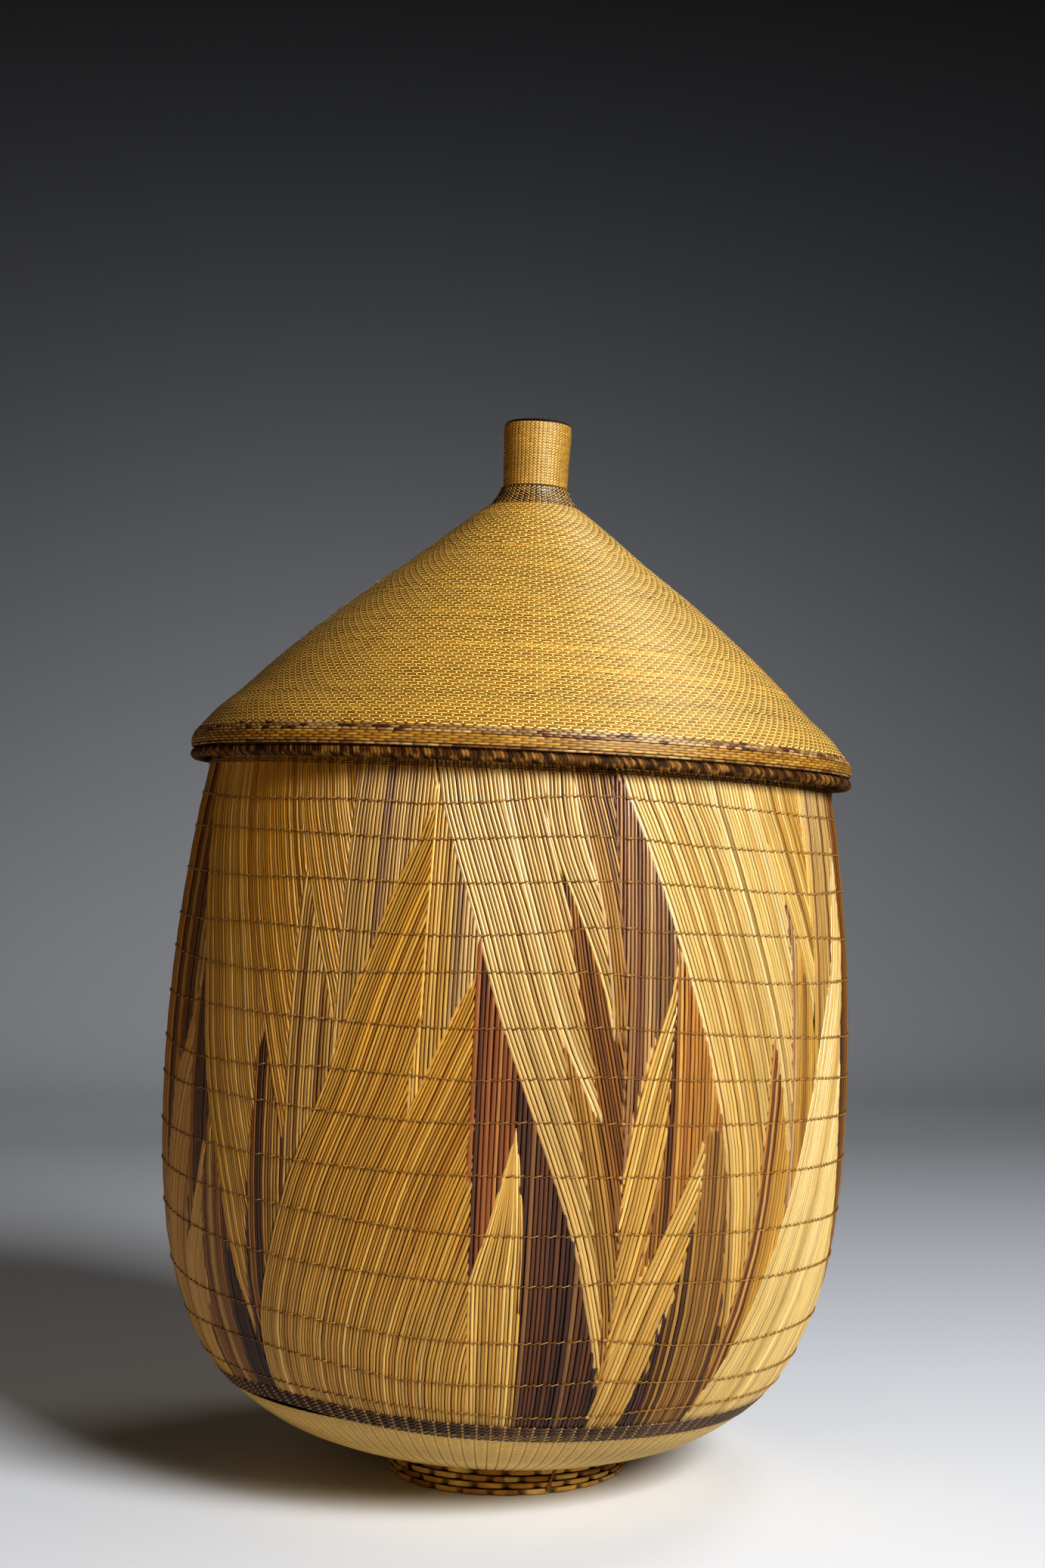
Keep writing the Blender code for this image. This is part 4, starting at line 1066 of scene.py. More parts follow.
def strand(angle, radius, height, size, tones, sides=4):
    """A closed tube round the axis along (angle, radius, height), and its faces. Its rings
    stand upright, across the path's run."""
    out, up = size * np.cos(circle(sides)), size * np.sin(circle(sides))
    ring = standing(radius[:, None] + out, np.broadcast_to(angle[:, None], (len(angle), sides)),
                    height[:, None] + up)
    faces, corner = grid_faces(len(angle), sides, True, True)
    uv = np.stack([corner[..., 1] / sides, corner[..., 0] * WINDS / len(angle)], axis=-1)
    return ring.reshape(-1, 3), faces, uv, np.repeat(tones, sides, axis=0)


def twined(line, surface, tone_at, size, out, inside, slant, steps=8):
    """Two strands of a size on the height line(angle), round the radius surface(height). out
    and inside are how far they stand from the surface outside and behind it, and slant is how
    far they rise and fall, all in millimetres."""
    angle = circle(WINDS * steps)
    level = line(np.degrees(angle))
    pieces = []
    for half in (0, 1):
        phase = WINDS * angle + np.pi * half
        wave = np.tanh(SQUARENESS * (np.cos(phase) + OUTSIDE_SHARE))
        height = level + slant * np.sin(phase)
        radius = surface(height) + (out - inside) / 2 + (out + inside) / 2 * wave
        pieces.append(strand(angle, radius, height, size, tone_at(phase, half, angle)))
    return pieces


KNOT_SIZE, KNOT_LUMPS = 0.95, 0.15
KNOT_LENGTH, KNOT_DEPTH, KNOT_PROUD = 1.5, 0.9, 0.2
KNOT_OFFSET = 0.4


def knot(angle, height, tone):
    """A small lumpy ball on the wall: a sphere's grid, longer round the wall."""
    rows, columns = 6, 8
    rise = np.pi * (np.arange(rows) + 0.5) / rows
    turn = circle(columns)
    bump = 1 + KNOT_LUMPS * np.sin(3 * turn + 2)
    across = KNOT_SIZE * KNOT_LENGTH * np.sin(rise)[:, None] * np.cos(turn) * bump
    up = KNOT_SIZE * np.sin(rise)[:, None] * np.sin(turn) * bump
    out = KNOT_SIZE * KNOT_DEPTH * np.cos(rise)[:, None] * np.ones(columns)
    radius = body_radius(height) + out + KNOT_PROUD
    points = standing(radius, math.radians(angle) + across / radius, height + up)
    faces, corner = grid_faces(rows, columns)
    tones = np.broadcast_to(tone, (rows * columns, 3))
    return points.reshape(-1, 3), *capped(faces, corner / columns, rows, columns), tones


THREAD = fibre_material("twining cord", 1.0, 9.0, 0.3, 0.5, specular=0.3)
THREAD_TONES = linear([(190, 154, 98), (160, 124, 74)])
TIGHT_TONES = linear([(176, 136, 80), (150, 112, 64)])


def thread_tone(phase, half, angle, tones=THREAD_TONES):
    """Two slightly different strands, with slow changes along the cord."""
    change = 1 + 0.12 * np.sin(9 * angle + 3 * half)
    return tones[half] * change[:, None]


def tight_tone(phase, half, angle):
    """The same for the darker cords of the row under the lid."""
    return thread_tone(phase, half, angle, TIGHT_TONES)


for row in range(len(ROW_HEIGHTS)):
    pieces = twined(lambda a, r=row: row_height(r, a), body_radius, thread_tone, **ROW_CORD)
    seam = float(row_height(row, SEAM_ANGLE))
    pieces.append(knot(SEAM_ANGLE - KNOT_OFFSET, seam, THREAD_TONES[0]))
    node = f"twining_row_{row + 1:02d}"
    add_piece(node + "_cord", *join(pieces), THREAD, "basket", [node], "thread")

# %% [markdown]
# The row right under the lid is beaten tight: two thin cords lie on one another.

# %% The tight row at the top
TIGHT_HEIGHT, TIGHT_STEP = 350.2, 1.1


def tight_row(height):
    """A height with three slow waves of half a millimetre round the wall."""
    return lambda angle: height + 0.5 * np.sin(np.radians(angle) * 3)


pieces = []
for step in range(2):
    line = tight_row(TIGHT_HEIGHT + TIGHT_STEP * step)
    pieces += twined(line, body_radius, tight_tone, **TIGHT_CORD)
add_piece("twining_row_top_cords", *join(pieces), THREAD, "basket", ["twining_row_top"], "thread")

# %% [markdown]
# ## The dark band
#
# Five dark twined wefts lie on one another between the bowl and the stalks. A thin pale strand
# shows between the stitches. They are twined cords again, thicker and dyed, set between the
# band's two measured edges.

# %% Dark wefts
DARK_WEFT = fibre_material("dark weft", 1.2, 7.0, 0.35, 0.6, specular=0.7, gloss=0.3)
BAND_TONES = linear([(122, 93, 68), (98, 73, 53)])
GLINT = linear((206, 170, 112))
BAND_ROWS = 5
BAND_INSET = 1.1


def band_tone(phase, half, angle):
    """Dark, with a pale glint where one strand dives under the other."""
    glint = ease((np.cos(phase - 1.2) - 0.88) / 0.08)[:, None] * (half == 0)
    change = 1 + 0.2 * np.sin(11 * angle + half)[:, None]
    return BAND_TONES[half] * change * (1 - glint) + GLINT * glint


def band_line(share):
    """The line at a share of the way from the band's lower edge to its upper one."""
    return lambda angle: (band_height(BAND_LOWS, angle) * (1 - share)
                          + band_height(BAND_TOPS, angle) * share)


def band_surface(height):
    """The radius of the wefts' middle, a little inside the wall's outline."""
    return body_radius(height) - BAND_INSET


pieces = []
for row in range(BAND_ROWS):
    pieces += twined(band_line((row + 0.5) / BAND_ROWS), band_surface, band_tone, **BAND_CORD)
add_piece("dark_band_wefts", *join(pieces), DARK_WEFT, "basket", ["dark_band"], "dark_weft")

# %% [markdown]
# ## The bowl
#
# The bowl is woven much finer than anything above it: thin wefts run round it and lines of
# brown stitches run down it. Its outer skin is a grid that follows the outline, with a ridge
# for every weft, and its inner skin is the same line moved in. Both meet at the top, so the
# shell is closed, and small flat lids close the middle.

# %% Bowl shell
BOWL_HEIGHT = 34.2
BOWL_WALL = 2.3
BOWL_MIDDLE = 4
BOWL_COLUMNS, INNER_ROWS = 268, 34
FLAT_RISE, FLAT_POINTS, OUTLINE_POINTS = 0.02, 23, 400


def outline_length(radius, height):
    """The running length along an outline."""
    return np.r_[0, np.cumsum(np.hypot(np.diff(radius), np.diff(height)))]


def shell_piece(outer, inner, columns, uv_scale, tone_at, ridge):
    """A closed shell of revolution from two outlines that both run from the axis outwards.
    ridge gives how far the outer skin stands out, by (running length, angle)."""
    angle = circle(columns)
    lines, lengths = [], []
    for side, (radius, height) in enumerate((outer, inner)):
        run = outline_length(radius, height)
        rise = np.gradient(height, run)
        fall = np.gradient(radius, run)
        out = np.zeros((len(run), columns)) if side else ridge(run[:, None], angle[None])
        lines.append(standing(radius[:, None] + out * rise[:, None], angle[None],
                              height[:, None] - out * fall[:, None]))
        lengths.append(run)
    points = np.concatenate([lines[0], lines[1][::-1]])
    run = np.concatenate([lengths[0], lengths[1][::-1]])
    faces, corner = grid_faces(len(points), columns)
    uv = np.stack([corner[..., 1] / columns * uv_scale[0], run[corner[..., 0]] * uv_scale[1]],
                  axis=-1)
    tones = tone_at(run[:, None], angle[None])
    return points, *capped(faces, uv, len(points), columns), tones


BOWL_TONE = linear((250, 218, 146))
WEFT_PITCH, ROWS_A_WEFT = 1.3, 3


def bowl_tone(run, angle):
    """The straw's tone, with slow changes, and painted shade in the grooves between the wefts."""
    wide = 1 + 0.06 * np.sin(run / 5) + 0.05 * np.sin(7 * angle + run / 17)
    # Painted shade: darker in the grooves between the wefts.
    weft = 0.86 + 0.14 * np.abs(np.sin(np.pi * run / WEFT_PITCH))
    return BOWL_TONE * (wide * weft)[..., None]


def bowl_ridge(run, angle):
    """A ridge for each weft, and a low crest between the lines of stitches."""
    weft = 0.22 * np.abs(np.sin(np.pi * run / WEFT_PITCH))
    return weft - 0.12 * np.cos(WINDS * angle) - 0.2


def bowl_outline():
    """The body's own outline from near the axis up to the band, at even steps."""
    height = np.r_[0.0, np.geomspace(FLAT_RISE, BOWL_HEIGHT, OUTLINE_POINTS)]
    radius = body_radius(height)
    radius = np.r_[np.linspace(BOWL_MIDDLE, radius[0], FLAT_POINTS + 1)[:-1], radius]
    height = np.r_[FLAT_RISE * np.linspace(0, 1, FLAT_POINTS), height + FLAT_RISE]
    run = outline_length(radius, height)
    even = np.linspace(0, run[-1], int(run[-1] / WEFT_PITCH * ROWS_A_WEFT))
    return np.interp(even, run, radius), np.interp(even, run, height)


radius, height = bowl_outline()
inner_radius = np.linspace(BOWL_MIDDLE, radius[-1] - BOWL_WALL, INNER_ROWS)
inner_height = np.interp(inner_radius + BOWL_WALL * 0.8, radius, height) + BOWL_WALL * 0.75
inner_height = np.minimum(inner_height, height[-1])
BOWL_FINISH = fibre_material("fine bowl weave", 20.0, 0.8, 0.2, 0.4, specular=0.5, dots={
    "slant": 0.1, "width": 0.2, "colour": (104, 66, 30), "share": 0.85, "depth": -0.5,
    "odd": 0.0})
shell = shell_piece((radius, height), (inner_radius, inner_height), BOWL_COLUMNS,
                    (WINDS, 1 / WEFT_PITCH), bowl_tone, bowl_ridge)
add_piece("bowl_weave", *shell, BOWL_FINISH, "basket", ["bowl"], "bowl_straw")

# %% [markdown]
# ## Behind the seams of the wall
#
# On the real basket no light shows between two panels, because the stalks are packed tightly
# and the depth between them lies in shade. A thin dark wall, painted shade that stands inside the
# thickness of the stalks, closes what opens along the panels' edges. Its section runs up the outer
# side and down the inner side, and is carried round the axis.

# %% The dark wall of painted shade between the stalks
CORE_DEPTH, CORE_WALL = STALK_DEPTH / 2 + 0.5, 0.15
CORE_ROWS, CORE_COLUMNS = 60, 160
CORE_STREAKS = 8
# Painted shade: the dark tone of the wall that fills the shaded depth between stalks.
CORE_PAINTED_SHADE = linear((66, 44, 28))


def painted_shade_wall():
    """The section's two sides carried round the axis."""
    height = np.linspace(HEIGHTS[0], HEIGHTS[-1] - 2, CORE_ROWS)
    radius = body_radius(height) - CORE_DEPTH
    radius = np.concatenate([radius, radius[::-1] - CORE_WALL])
    height = np.concatenate([height, height[::-1]])
    points = standing(radius[:, None], circle(CORE_COLUMNS)[None],
                      np.repeat(height[:, None], CORE_COLUMNS, axis=1))
    faces, corner = grid_faces(len(radius), CORE_COLUMNS, True, True)
    tones = np.broadcast_to(CORE_PAINTED_SHADE, (len(radius) * CORE_COLUMNS, 3))
    return points, faces, corner / CORE_STREAKS, tones


add_piece("shade_core_wall", *painted_shade_wall(), STALK, "basket", ["panel_01_brown"], "stalk_dark")

# %% [markdown]
# ## Mouth hoop
#
# Under the lid the stalks end at a stiff ring, overcast with a flat strip that winds round it.
# The ring is a tube whose size swells once for each wrap.

# %% Hoop
WRAP_SIDES, WRAP_STEPS = 10, 6
FULLNESS = 0.6


def wrap_crown(lean):
    """1 on a wrap's middle and 0 between wraps: a flattened sine of half the lean."""
    return np.abs(np.sin(lean / 2 + 0.4)) ** FULLNESS


def wrapped_ring(middle_radius, middle_height, out, up, wraps, slant, tone_at, swell=0.09):
    """A ring of oval section. Its size goes up and down once a wrap, and the wraps lean by
    slant as they pass over the ring."""
    angle, turn = circle(wraps * WRAP_STEPS), circle(WRAP_SIDES)
    lean = wraps * angle[:, None] + slant * turn[None]
    size = 1 - swell + swell * wrap_crown(lean)
    radius = middle_radius + out * size * np.cos(turn)
    height = middle_height + up * size * np.sin(turn)
    points = standing(radius, angle[:, None], height)
    faces, corner = grid_faces(len(angle), WRAP_SIDES, True, True)
    return points, faces, corner / [2 * WRAP_STEPS, WRAP_SIDES / 2], tone_at(lean)


def picked_tone(shades, count, seed):
    """A random shade for each wrap number."""
    picks = np.random.default_rng(seed).integers(0, len(shades), count + 4)
    return linear(shades)[picks]


def wrap_tone(shades, wraps, seed):
    """A function that gives each wrap its own shade, and darkens it towards its edges: painted shade
    in the grooves between the wraps.
    """
    table = picked_tone(shades, wraps, seed)

    def tone(lean):
        number = np.floor((lean + 0.8) / (2 * np.pi)).astype(int) % wraps
        # Painted shade: darker towards the grooves between the wraps.
        return table[number] * (0.35 + 0.65 * wrap_crown(lean))[..., None]
    return tone


WRAPPED = fibre_material("wrapped strip", 2.0, 5.0, 0.35, 0.6, specular=0.4)
HOOP_SHADES = [(150, 106, 50), (126, 84, 40), (172, 126, 64)]
HOOP_SIZE, HOOP_INSET, HOOP_WRAPS = 1.2, 1.05, 260
HOOP_MIDDLE = WALL_HIGH + 0.3 + HOOP_SIZE
hoop = wrapped_ring(float(body_radius(WALL_HIGH)) - HOOP_INSET, HOOP_MIDDLE, HOOP_SIZE, HOOP_SIZE,
                    HOOP_WRAPS, 1.0, wrap_tone(HOOP_SHADES, HOOP_WRAPS, 3))
add_piece("mouth_hoop_wraps", *hoop, WRAPPED, "basket", ["mouth_hoop"], "stalk_brown")

# %% [markdown]
# ## The lid's outline
#
# The lid stands on the mouth hoop. Its heights are counted from the bottom of its rolled edge.
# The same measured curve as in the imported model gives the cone, the neck and the knob.

# %% Lid outline, in millimetres
LID_RADIUS = BELLY_RADIUS * BODY_SHARES[-1][1] + 14.8
CONE_LOW, CONE_HEIGHT = 17.8, 126.5
ROLL_HALF = 3.1
CONE_SHARES = (
    (0.0, 0.977), (0.0794, 0.9269), (0.1556, 0.8647), (0.3111, 0.7504), (0.4635, 0.6282),
    (0.6190, 0.4917), (0.7714, 0.3472), (0.8889, 0.2433), (0.9651, 0.1730), (1.0, 0.1370),
)


def lid_seat():
    """The height of the lid's zero above the bowl's underside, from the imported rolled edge:
    the middle of its box, moved into the leaning frame, less half the roll's height."""
    low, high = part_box("rolled_edge")
    middle = (np.array(low) + np.array(high)) / 2 - BOWL_POINT
    return float(middle @ AXIS) / MM - ROLL_HALF


LID_SEAT = lid_seat()


def cone_radius(height):
    """The cone's outer radius at a height above the lid's zero."""
    return LID_RADIUS * smooth_line(CONE_SHARES, (height - CONE_LOW) / CONE_HEIGHT)


print("the lid's zero is at", round(LID_SEAT, 2), "mm")

# %% [markdown]
# ## The woven cone
#
# The cone is twined so tightly that its stitches lie like bricks: about ninety rows of
# them, each half a stitch off the row below. There is one grid for each belt of rows. Every
# stitch is a low pillow, worked out as the product of a bulge across the row and a bulge along
# the stitch, and a thin inner skin closes the belt. The light dots where the stitches meet are
# in the finish: partly the stitches' own pale ends, and partly painted highlight.

# %% Belts of stitches
LID_WALL = 3.0
CONE_BULGE = 0.2
ROW_PITCH = 2.2
CROWN_POWER, BEAD_POWER = 0.5, 0.35
PALE_STRETCH, PALE_GAIN = 2.6, 0.28


def stitch_tones(shades, weights, rows, stitches, seed, spread=0.08, pale_rows=0.0):
    """A tone for each stitch of each row, with slow changes from row to row and round them. A
    few rows have a long pale stretch where a lighter fibre was taken in."""
    own = np.random.default_rng(seed)
    weights = np.array(weights, float) / sum(weights)
    picks = own.choice(len(shades), (rows, stitches), p=weights)
    angle = circle(stitches)
    streak = own.normal(1, 0.05, (rows, 1))
    wave = 1 + 0.06 * np.sin(own.integers(1, 5, (rows, 1)) * angle + own.uniform(0, 7, (rows, 1)))
    start, pick = own.uniform(0, 2 * np.pi, (rows, 1)), own.uniform(0, 1, (rows, 1))
    stretch = (pick < pale_rows) & ((angle - start) % (2 * np.pi) < PALE_STRETCH)
    factor = streak * wave * (1 + PALE_GAIN * stretch) * own.normal(1, spread, (rows, stitches))
    return linear(shades)[picks] * factor[..., None]


def stitched_belt(radius_at, low, high, rows, stitches, wall, tones, bulge, grooves,
                  steps=(4, 4), turn_share=0.5):
    """A belt of stitches between two heights. Row by row each stitch is a pillow, raised by
    bulge times a power of sin(across) times a power of sin(along). The inner skin follows the
    outline, moved in by wall. grooves darken the tone between rows and between stitches, as
    painted shade in the grooves."""
    per_row, per_stitch = steps
    count = rows * per_row + 1
    columns = stitches * per_stitch
    row_place = np.arange(count) / per_row
    share = np.arange(count) / (count - 1)
    fine = np.linspace(low, high, 400)
    run = outline_length(radius_at(fine), fine)
    height = np.interp(share * run[-1], run, fine)
    radius = radius_at(height)
    slope = np.gradient(height, share), np.gradient(radius, share)
    length = np.hypot(*slope)
    normal_out, normal_up = slope[0] / length, -slope[1] / length
    row = np.minimum(np.arange(count) // per_row, rows - 1)
    angle = circle(columns)
    along = (np.arange(columns) / per_stitch)[None] + turn_share * (row % 2)[:, None]
    crown = np.sin(np.pi * (row_place % 1))[:, None] ** CROWN_POWER
    bead = np.abs(np.sin(np.pi * along)) ** BEAD_POWER
    out = bulge * (crown * bead - 1)
    skin = standing(radius[:, None] + out * normal_out[:, None], angle[None],
                    LID_SEAT + height[:, None] + out * normal_up[:, None])
    back = standing((radius[::-1] - wall * normal_out[::-1])[:, None], angle[None],
                    (LID_SEAT + height[::-1] - wall * normal_up[::-1])[:, None]
                    * np.ones(columns))
    back = back[::per_row]
    points = np.concatenate([skin, back])
    faces, corner = grid_faces(len(points), columns, True, True)
    v = np.r_[row_place, row_place[::-1][::per_row], 0]
    uv = np.stack([corner[..., 1] / per_stitch, v[corner[..., 0]]], axis=-1)
    number = np.floor(along).astype(int) % stitches
    # Painted shade: the tone is darker in the grooves between rows and between stitches.
    groove = (1 - grooves[0] * (1 - crown)) * (1 - grooves[1] * (1 - bead))
    face_tones = tones[row[:, None], number] * groove[..., None]
    back_tones = np.broadcast_to(tones.mean((0, 1)) * 0.9, (len(back), columns, 3))
    return points, faces, uv, np.concatenate([face_tones, back_tones])


LID_SHADES = [(194, 146, 45), (187, 138, 39), (203, 156, 56), (175, 127, 33)]
LID_WEIGHTS = (5, 4, 2, 1)
# The pale dots are partly the stitch ends' own colour and partly painted highlight.
LID_FINISH = fibre_material("lid weave", 1.5, 1.0, 0.08, 0.3, specular=1.0, gloss=0.34, dots={
    "slant": 0.10, "width": 0.20, "colour": (252, 228, 160), "share": 1.0, "depth": 0.5})
CONE_BELTS = ((17.8, 34.0, 190), (34.0, 62.0, 164), (62.0, 92.0, 126), (92.0, 118.0, 86),
              (118.0, 144.3, 48))
cone_nodes = ["lid_shell"]
belts = []
for k, (low, high, stitches) in enumerate(CONE_BELTS):
    span = np.linspace(low, high, 60)
    rows = round(outline_length(cone_radius(span), span)[-1] / ROW_PITCH)
    tones = stitch_tones(LID_SHADES, LID_WEIGHTS, rows, stitches, 40 + k, 0.03, 0.12)
    belts.append((rows, stitches))
    piece = stitched_belt(cone_radius, low, high, rows, stitches, LID_WALL, tones, CONE_BULGE,
                          grooves=(0.45, 0.2))
    add_piece(f"lid_weave_{k + 1}", *piece, LID_FINISH, "lid", cone_nodes, "lid_straw")
    cone_nodes = []
print("rows and stitches of the belts, from the bottom:", belts)

# %% [markdown]
# ## Rim rows
#
# Under the cone the rim has a few coarser rows: a golden band of bricks, and above and below it
# patchy rows where dark and cream stitches change places.

# %% Rim belts
RIM_SHARES = ((0.0, 0.998), (0.35, 1.0), (0.7, 0.992), (1.0, 0.977))
RIM_LOW, RIM_HIGH = 6.5, 17.8
GOLD_SHADES = [(210, 161, 70), (198, 148, 60), (220, 175, 88)]
PATCH_SHADES = [(150, 106, 66), (114, 76, 48), (220, 184, 130), (192, 150, 94)]
# The rim's groove darkening is painted shade between its rows and stitches.
RIM_WALL, RIM_BULGE, RIM_GROOVE_SHADE = 2.6, 0.5, (0.6, 0.6)


def rim_radius(height):
    """The rim's outer radius at a height above the lid's zero."""
    return LID_RADIUS * smooth_line(RIM_SHARES, (height - RIM_LOW) / (RIM_HIGH - RIM_LOW))


def patchy_tones(rows, stitches, seed, cream_share):
    """Dark stitches with clusters of cream: a slow random wave picks where the cream lies."""
    own = np.random.default_rng(seed)
    wave = sum(np.sin(f * circle(stitches)[None] + own.uniform(0, 7, (rows, 1)))
               for f in (3, 7, 13, 23))
    cream = wave + own.normal(0, 1.6, (rows, stitches)) > 3.0 * (1 - 2 * cream_share)
    dark = stitch_tones(PATCH_SHADES[:2] + PATCH_SHADES[3:], (2, 1, 5), rows, stitches, seed)
    pale = stitch_tones(PATCH_SHADES[2:], (4, 1), rows, stitches, seed + 1)
    return np.where(cream[..., None], pale, dark)


RIM_FINISH = fibre_material("rim weave", 1.5, 1.0, 0.2, 0.4, specular=0.7)
RIM_BELTS = (
    ("rim_lower_row", 6.6, 7.9, 1, patchy_tones(1, 170, 61, 0.35), "dark_weft"),
    ("rim_gold_rows", 8.0, 13.5, 4, stitch_tones(GOLD_SHADES, (4, 3, 2), 4, 150, 62), "lid_straw"),
    ("rim_accent_rows", 13.6, 17.7, 3, patchy_tones(3, 230, 63, 0.5), "rim_weft"),
)
for node, low, high, rows, tones, slot in RIM_BELTS:
    piece = stitched_belt(rim_radius, low, high, rows, tones.shape[1], RIM_WALL, tones, RIM_BULGE,
                          steps=(5, 6), grooves=RIM_GROOVE_SHADE)
    add_piece(node + "_stitches", *piece, RIM_FINISH, "lid", [node], slot)

# %% [markdown]
# ## The rolled edge
#
# The very edge of the lid is a thick roll, overcast with coarse brown fibre in slanted wraps.

# %% Rolled edge
ROLL_SHADES = [(128, 90, 48), (102, 71, 38), (150, 110, 60), (78, 54, 31), (180, 138, 80)]
ROLL_FINISH = fibre_material("rolled edge", 6.0, 5.0, 0.5, 0.6, specular=0.25, gloss=0.5)
ROLL_OUT, ROLL_UP, ROLL_MIDDLE = 2.8, 2.9, 3.3
ROLL_WRAPS, ROLL_SLANT = 600, 3.6
roll = wrapped_ring(LID_RADIUS - ROLL_OUT, LID_SEAT + ROLL_MIDDLE, ROLL_OUT, ROLL_UP, ROLL_WRAPS,
                    ROLL_SLANT, wrap_tone(ROLL_SHADES, ROLL_WRAPS, 5), swell=0.14)
add_piece("rolled_edge_wraps", *roll, ROLL_FINISH, "lid", ["rolled_edge"], "rim_weft")

# %% [markdown]
# ## Neck and knob
#
# A dark band closes the cone under the knob. The knob is woven round a core, in fine rows with
# upright lines of small stitches, and it has a thin dark line round its slightly domed top.

# %% Neck, knob and knob top
NECK_SHARES = ((0.0, 1.0), (0.3, 0.90), (0.65, 0.81), (1.0, 0.755))
KNOB_SHARES = ((0.0, 0.96), (0.35, 0.97), (0.6, 0.99), (0.88, 1.01), (1.0, 0.98))
NECK_LOW, NECK_HIGH, KNOB_LOW, KNOB_HIGH = 144.4, 154.5, 154.7, 188.4
KNOB_RADIUS = 18.1
NECK_SHADES = [(116, 80, 42), (88, 58, 32), (156, 112, 58)]


def neck_radius(height):
    """The neck's outer radius. It starts where the cone ends."""
    share = (height - NECK_LOW) / (NECK_HIGH - NECK_LOW)
    return LID_RADIUS * CONE_SHARES[-1][1] * smooth_line(NECK_SHARES, share)


def knob_radius(height):
    """The knob's outer radius at a height above the lid's zero."""
    share = (height - KNOB_LOW) / (KNOB_HIGH - KNOB_LOW)
    return KNOB_RADIUS * smooth_line(KNOB_SHARES, share)


# The knob's pale dots are partly the stitch ends' own colour and partly painted highlight.
KNOB_FINISH = fibre_material("knob weave", 1.5, 1.0, 0.15, 0.3, specular=0.8, gloss=0.32, dots={
    "slant": 0.2, "width": 0.3, "colour": (240, 214, 148), "share": 0.8, "depth": 0.4, "odd": 0.0})
NECK_ROWS, NECK_STITCHES, KNOB_ROWS, KNOB_STITCHES = 7, 44, 23, 50
neck_tones = stitch_tones(NECK_SHADES, (4, 3, 1), NECK_ROWS, NECK_STITCHES, 71)
neck = stitched_belt(neck_radius, NECK_LOW, NECK_HIGH, NECK_ROWS, NECK_STITCHES, LID_WALL,
                     neck_tones, 0.4, turn_share=0.15, grooves=(0.4, 0.2))
add_piece("neck_band_stitches", *neck, KNOB_FINISH, "lid", ["neck_band"], "dark_weft")
knob_tones = stitch_tones(LID_SHADES, LID_WEIGHTS, KNOB_ROWS, KNOB_STITCHES, 72, 0.06)
knob = stitched_belt(knob_radius, KNOB_LOW, KNOB_HIGH, KNOB_ROWS, KNOB_STITCHES, LID_WALL,
                     knob_tones, 0.35, turn_share=0, grooves=(0.55, 0.1))
add_piece("knob_weave", *knob, KNOB_FINISH, "lid", ["knob"], "lid_straw")

TOP_SHARES = ((0.0, 0.98), (0.45, 0.93), (0.8, 0.72), (1.0, 0.0))
TOP_LOW, TOP_RISE, TOP_RINGS, TOP_COILS, TOP_COLUMNS = 188.5, 1.9, 24, 12, 64
TOP_TONE, TOP_EDGE_TONE = linear((186, 138, 66)), linear((74, 52, 34))


def knob_top():
    """A low dome of spiral rows: rings from the edge to the middle, and a flat underside."""
    rise = np.linspace(0, 1, TOP_RINGS + 1)[:-1]
    reach = KNOB_RADIUS * smooth_line(TOP_SHARES, rise) * 0.97
    base = LID_SEAT + TOP_LOW
    height = base + TOP_RISE * rise + 0.12 * np.abs(np.sin(np.pi * rise * TOP_COILS))
    reach = np.r_[reach.max(), reach]
    height = np.r_[base, height]
    points = standing(reach[:, None], circle(TOP_COLUMNS)[None],
                      height[:, None] * np.ones(TOP_COLUMNS))
    faces, corner = grid_faces(len(reach), TOP_COLUMNS)
    shade = np.where((reach > 0.9 * reach.max())[:, None], TOP_EDGE_TONE, TOP_TONE)
    tones = np.broadcast_to(shade[:, None], (len(reach), TOP_COLUMNS, 3))
    return points, *capped(faces, corner[..., ::-1] / [4, 2], len(reach), TOP_COLUMNS), tones


add_piece("knob_top_coil", *knob_top(), WRAPPED, "lid", ["knob_top"], "lid_straw")

# %% [markdown]
# ## Foot
#
# The foot is a low ring of upright cane splints, and four flat split canes are woven round it.
# Each dives behind every second upright, and the next row behind those between, so small dark
# squares stand in brick order. The uprights are given a dark tone and each cane is darker where
# it dives behind them: painted shade for these recesses. It stands level on the floor, and the
# leaning bowl sits on it, so its top follows the bowl's underside.

# %% Foot uprights, cane rows and ties
FOOT_RADIUS = 60.2
FOOT_FORWARD = 6.6
FOOT_FLARE = 1.8
UPRIGHTS = 48
CANE_ROWS, CANE_THICKNESS, CANE_GAP = 4, 1.1, 0.02
CANE_STEPS, UPRIGHT_STEPS = 12, 6
FOOT_LOW, FOOT_SHARE = 0.008, 0.985
UNDER_BOWL = 0.3


def underside(x, y):
    """The height of the bowl's underside over floor points, found by repeated correction."""
    height = np.full(np.broadcast(x, y).shape, FOOT_HEIGHT / MM)
    shares = np.r_[[(0, 0)], BODY_SHARES]
    for _ in range(8):
        spot = np.stack(np.broadcast_arrays(x, y, height), axis=-1) - BOWL_POINT / MM
        local = spot @ LEAN
        reach = np.hypot(local[..., 0], local[..., 1])
        over = np.interp(reach, shares[:, 1] * BELLY_RADIUS, shares[:, 0] * BASKET_HEIGHT)
        height = height + over - local[..., 2]
    return height - UNDER_BOWL


def foot_points(radius, angle, share):
    """Points round the foot, at a share of the room under the bowl, in metres."""
    flared = radius + FOOT_FLARE * share
    x, y = flared * np.sin(angle), -flared * np.cos(angle) - FOOT_FORWARD
    room = underside(x, y)
    return np.stack(np.broadcast_arrays(x, y, share * room), axis=-1) * MM


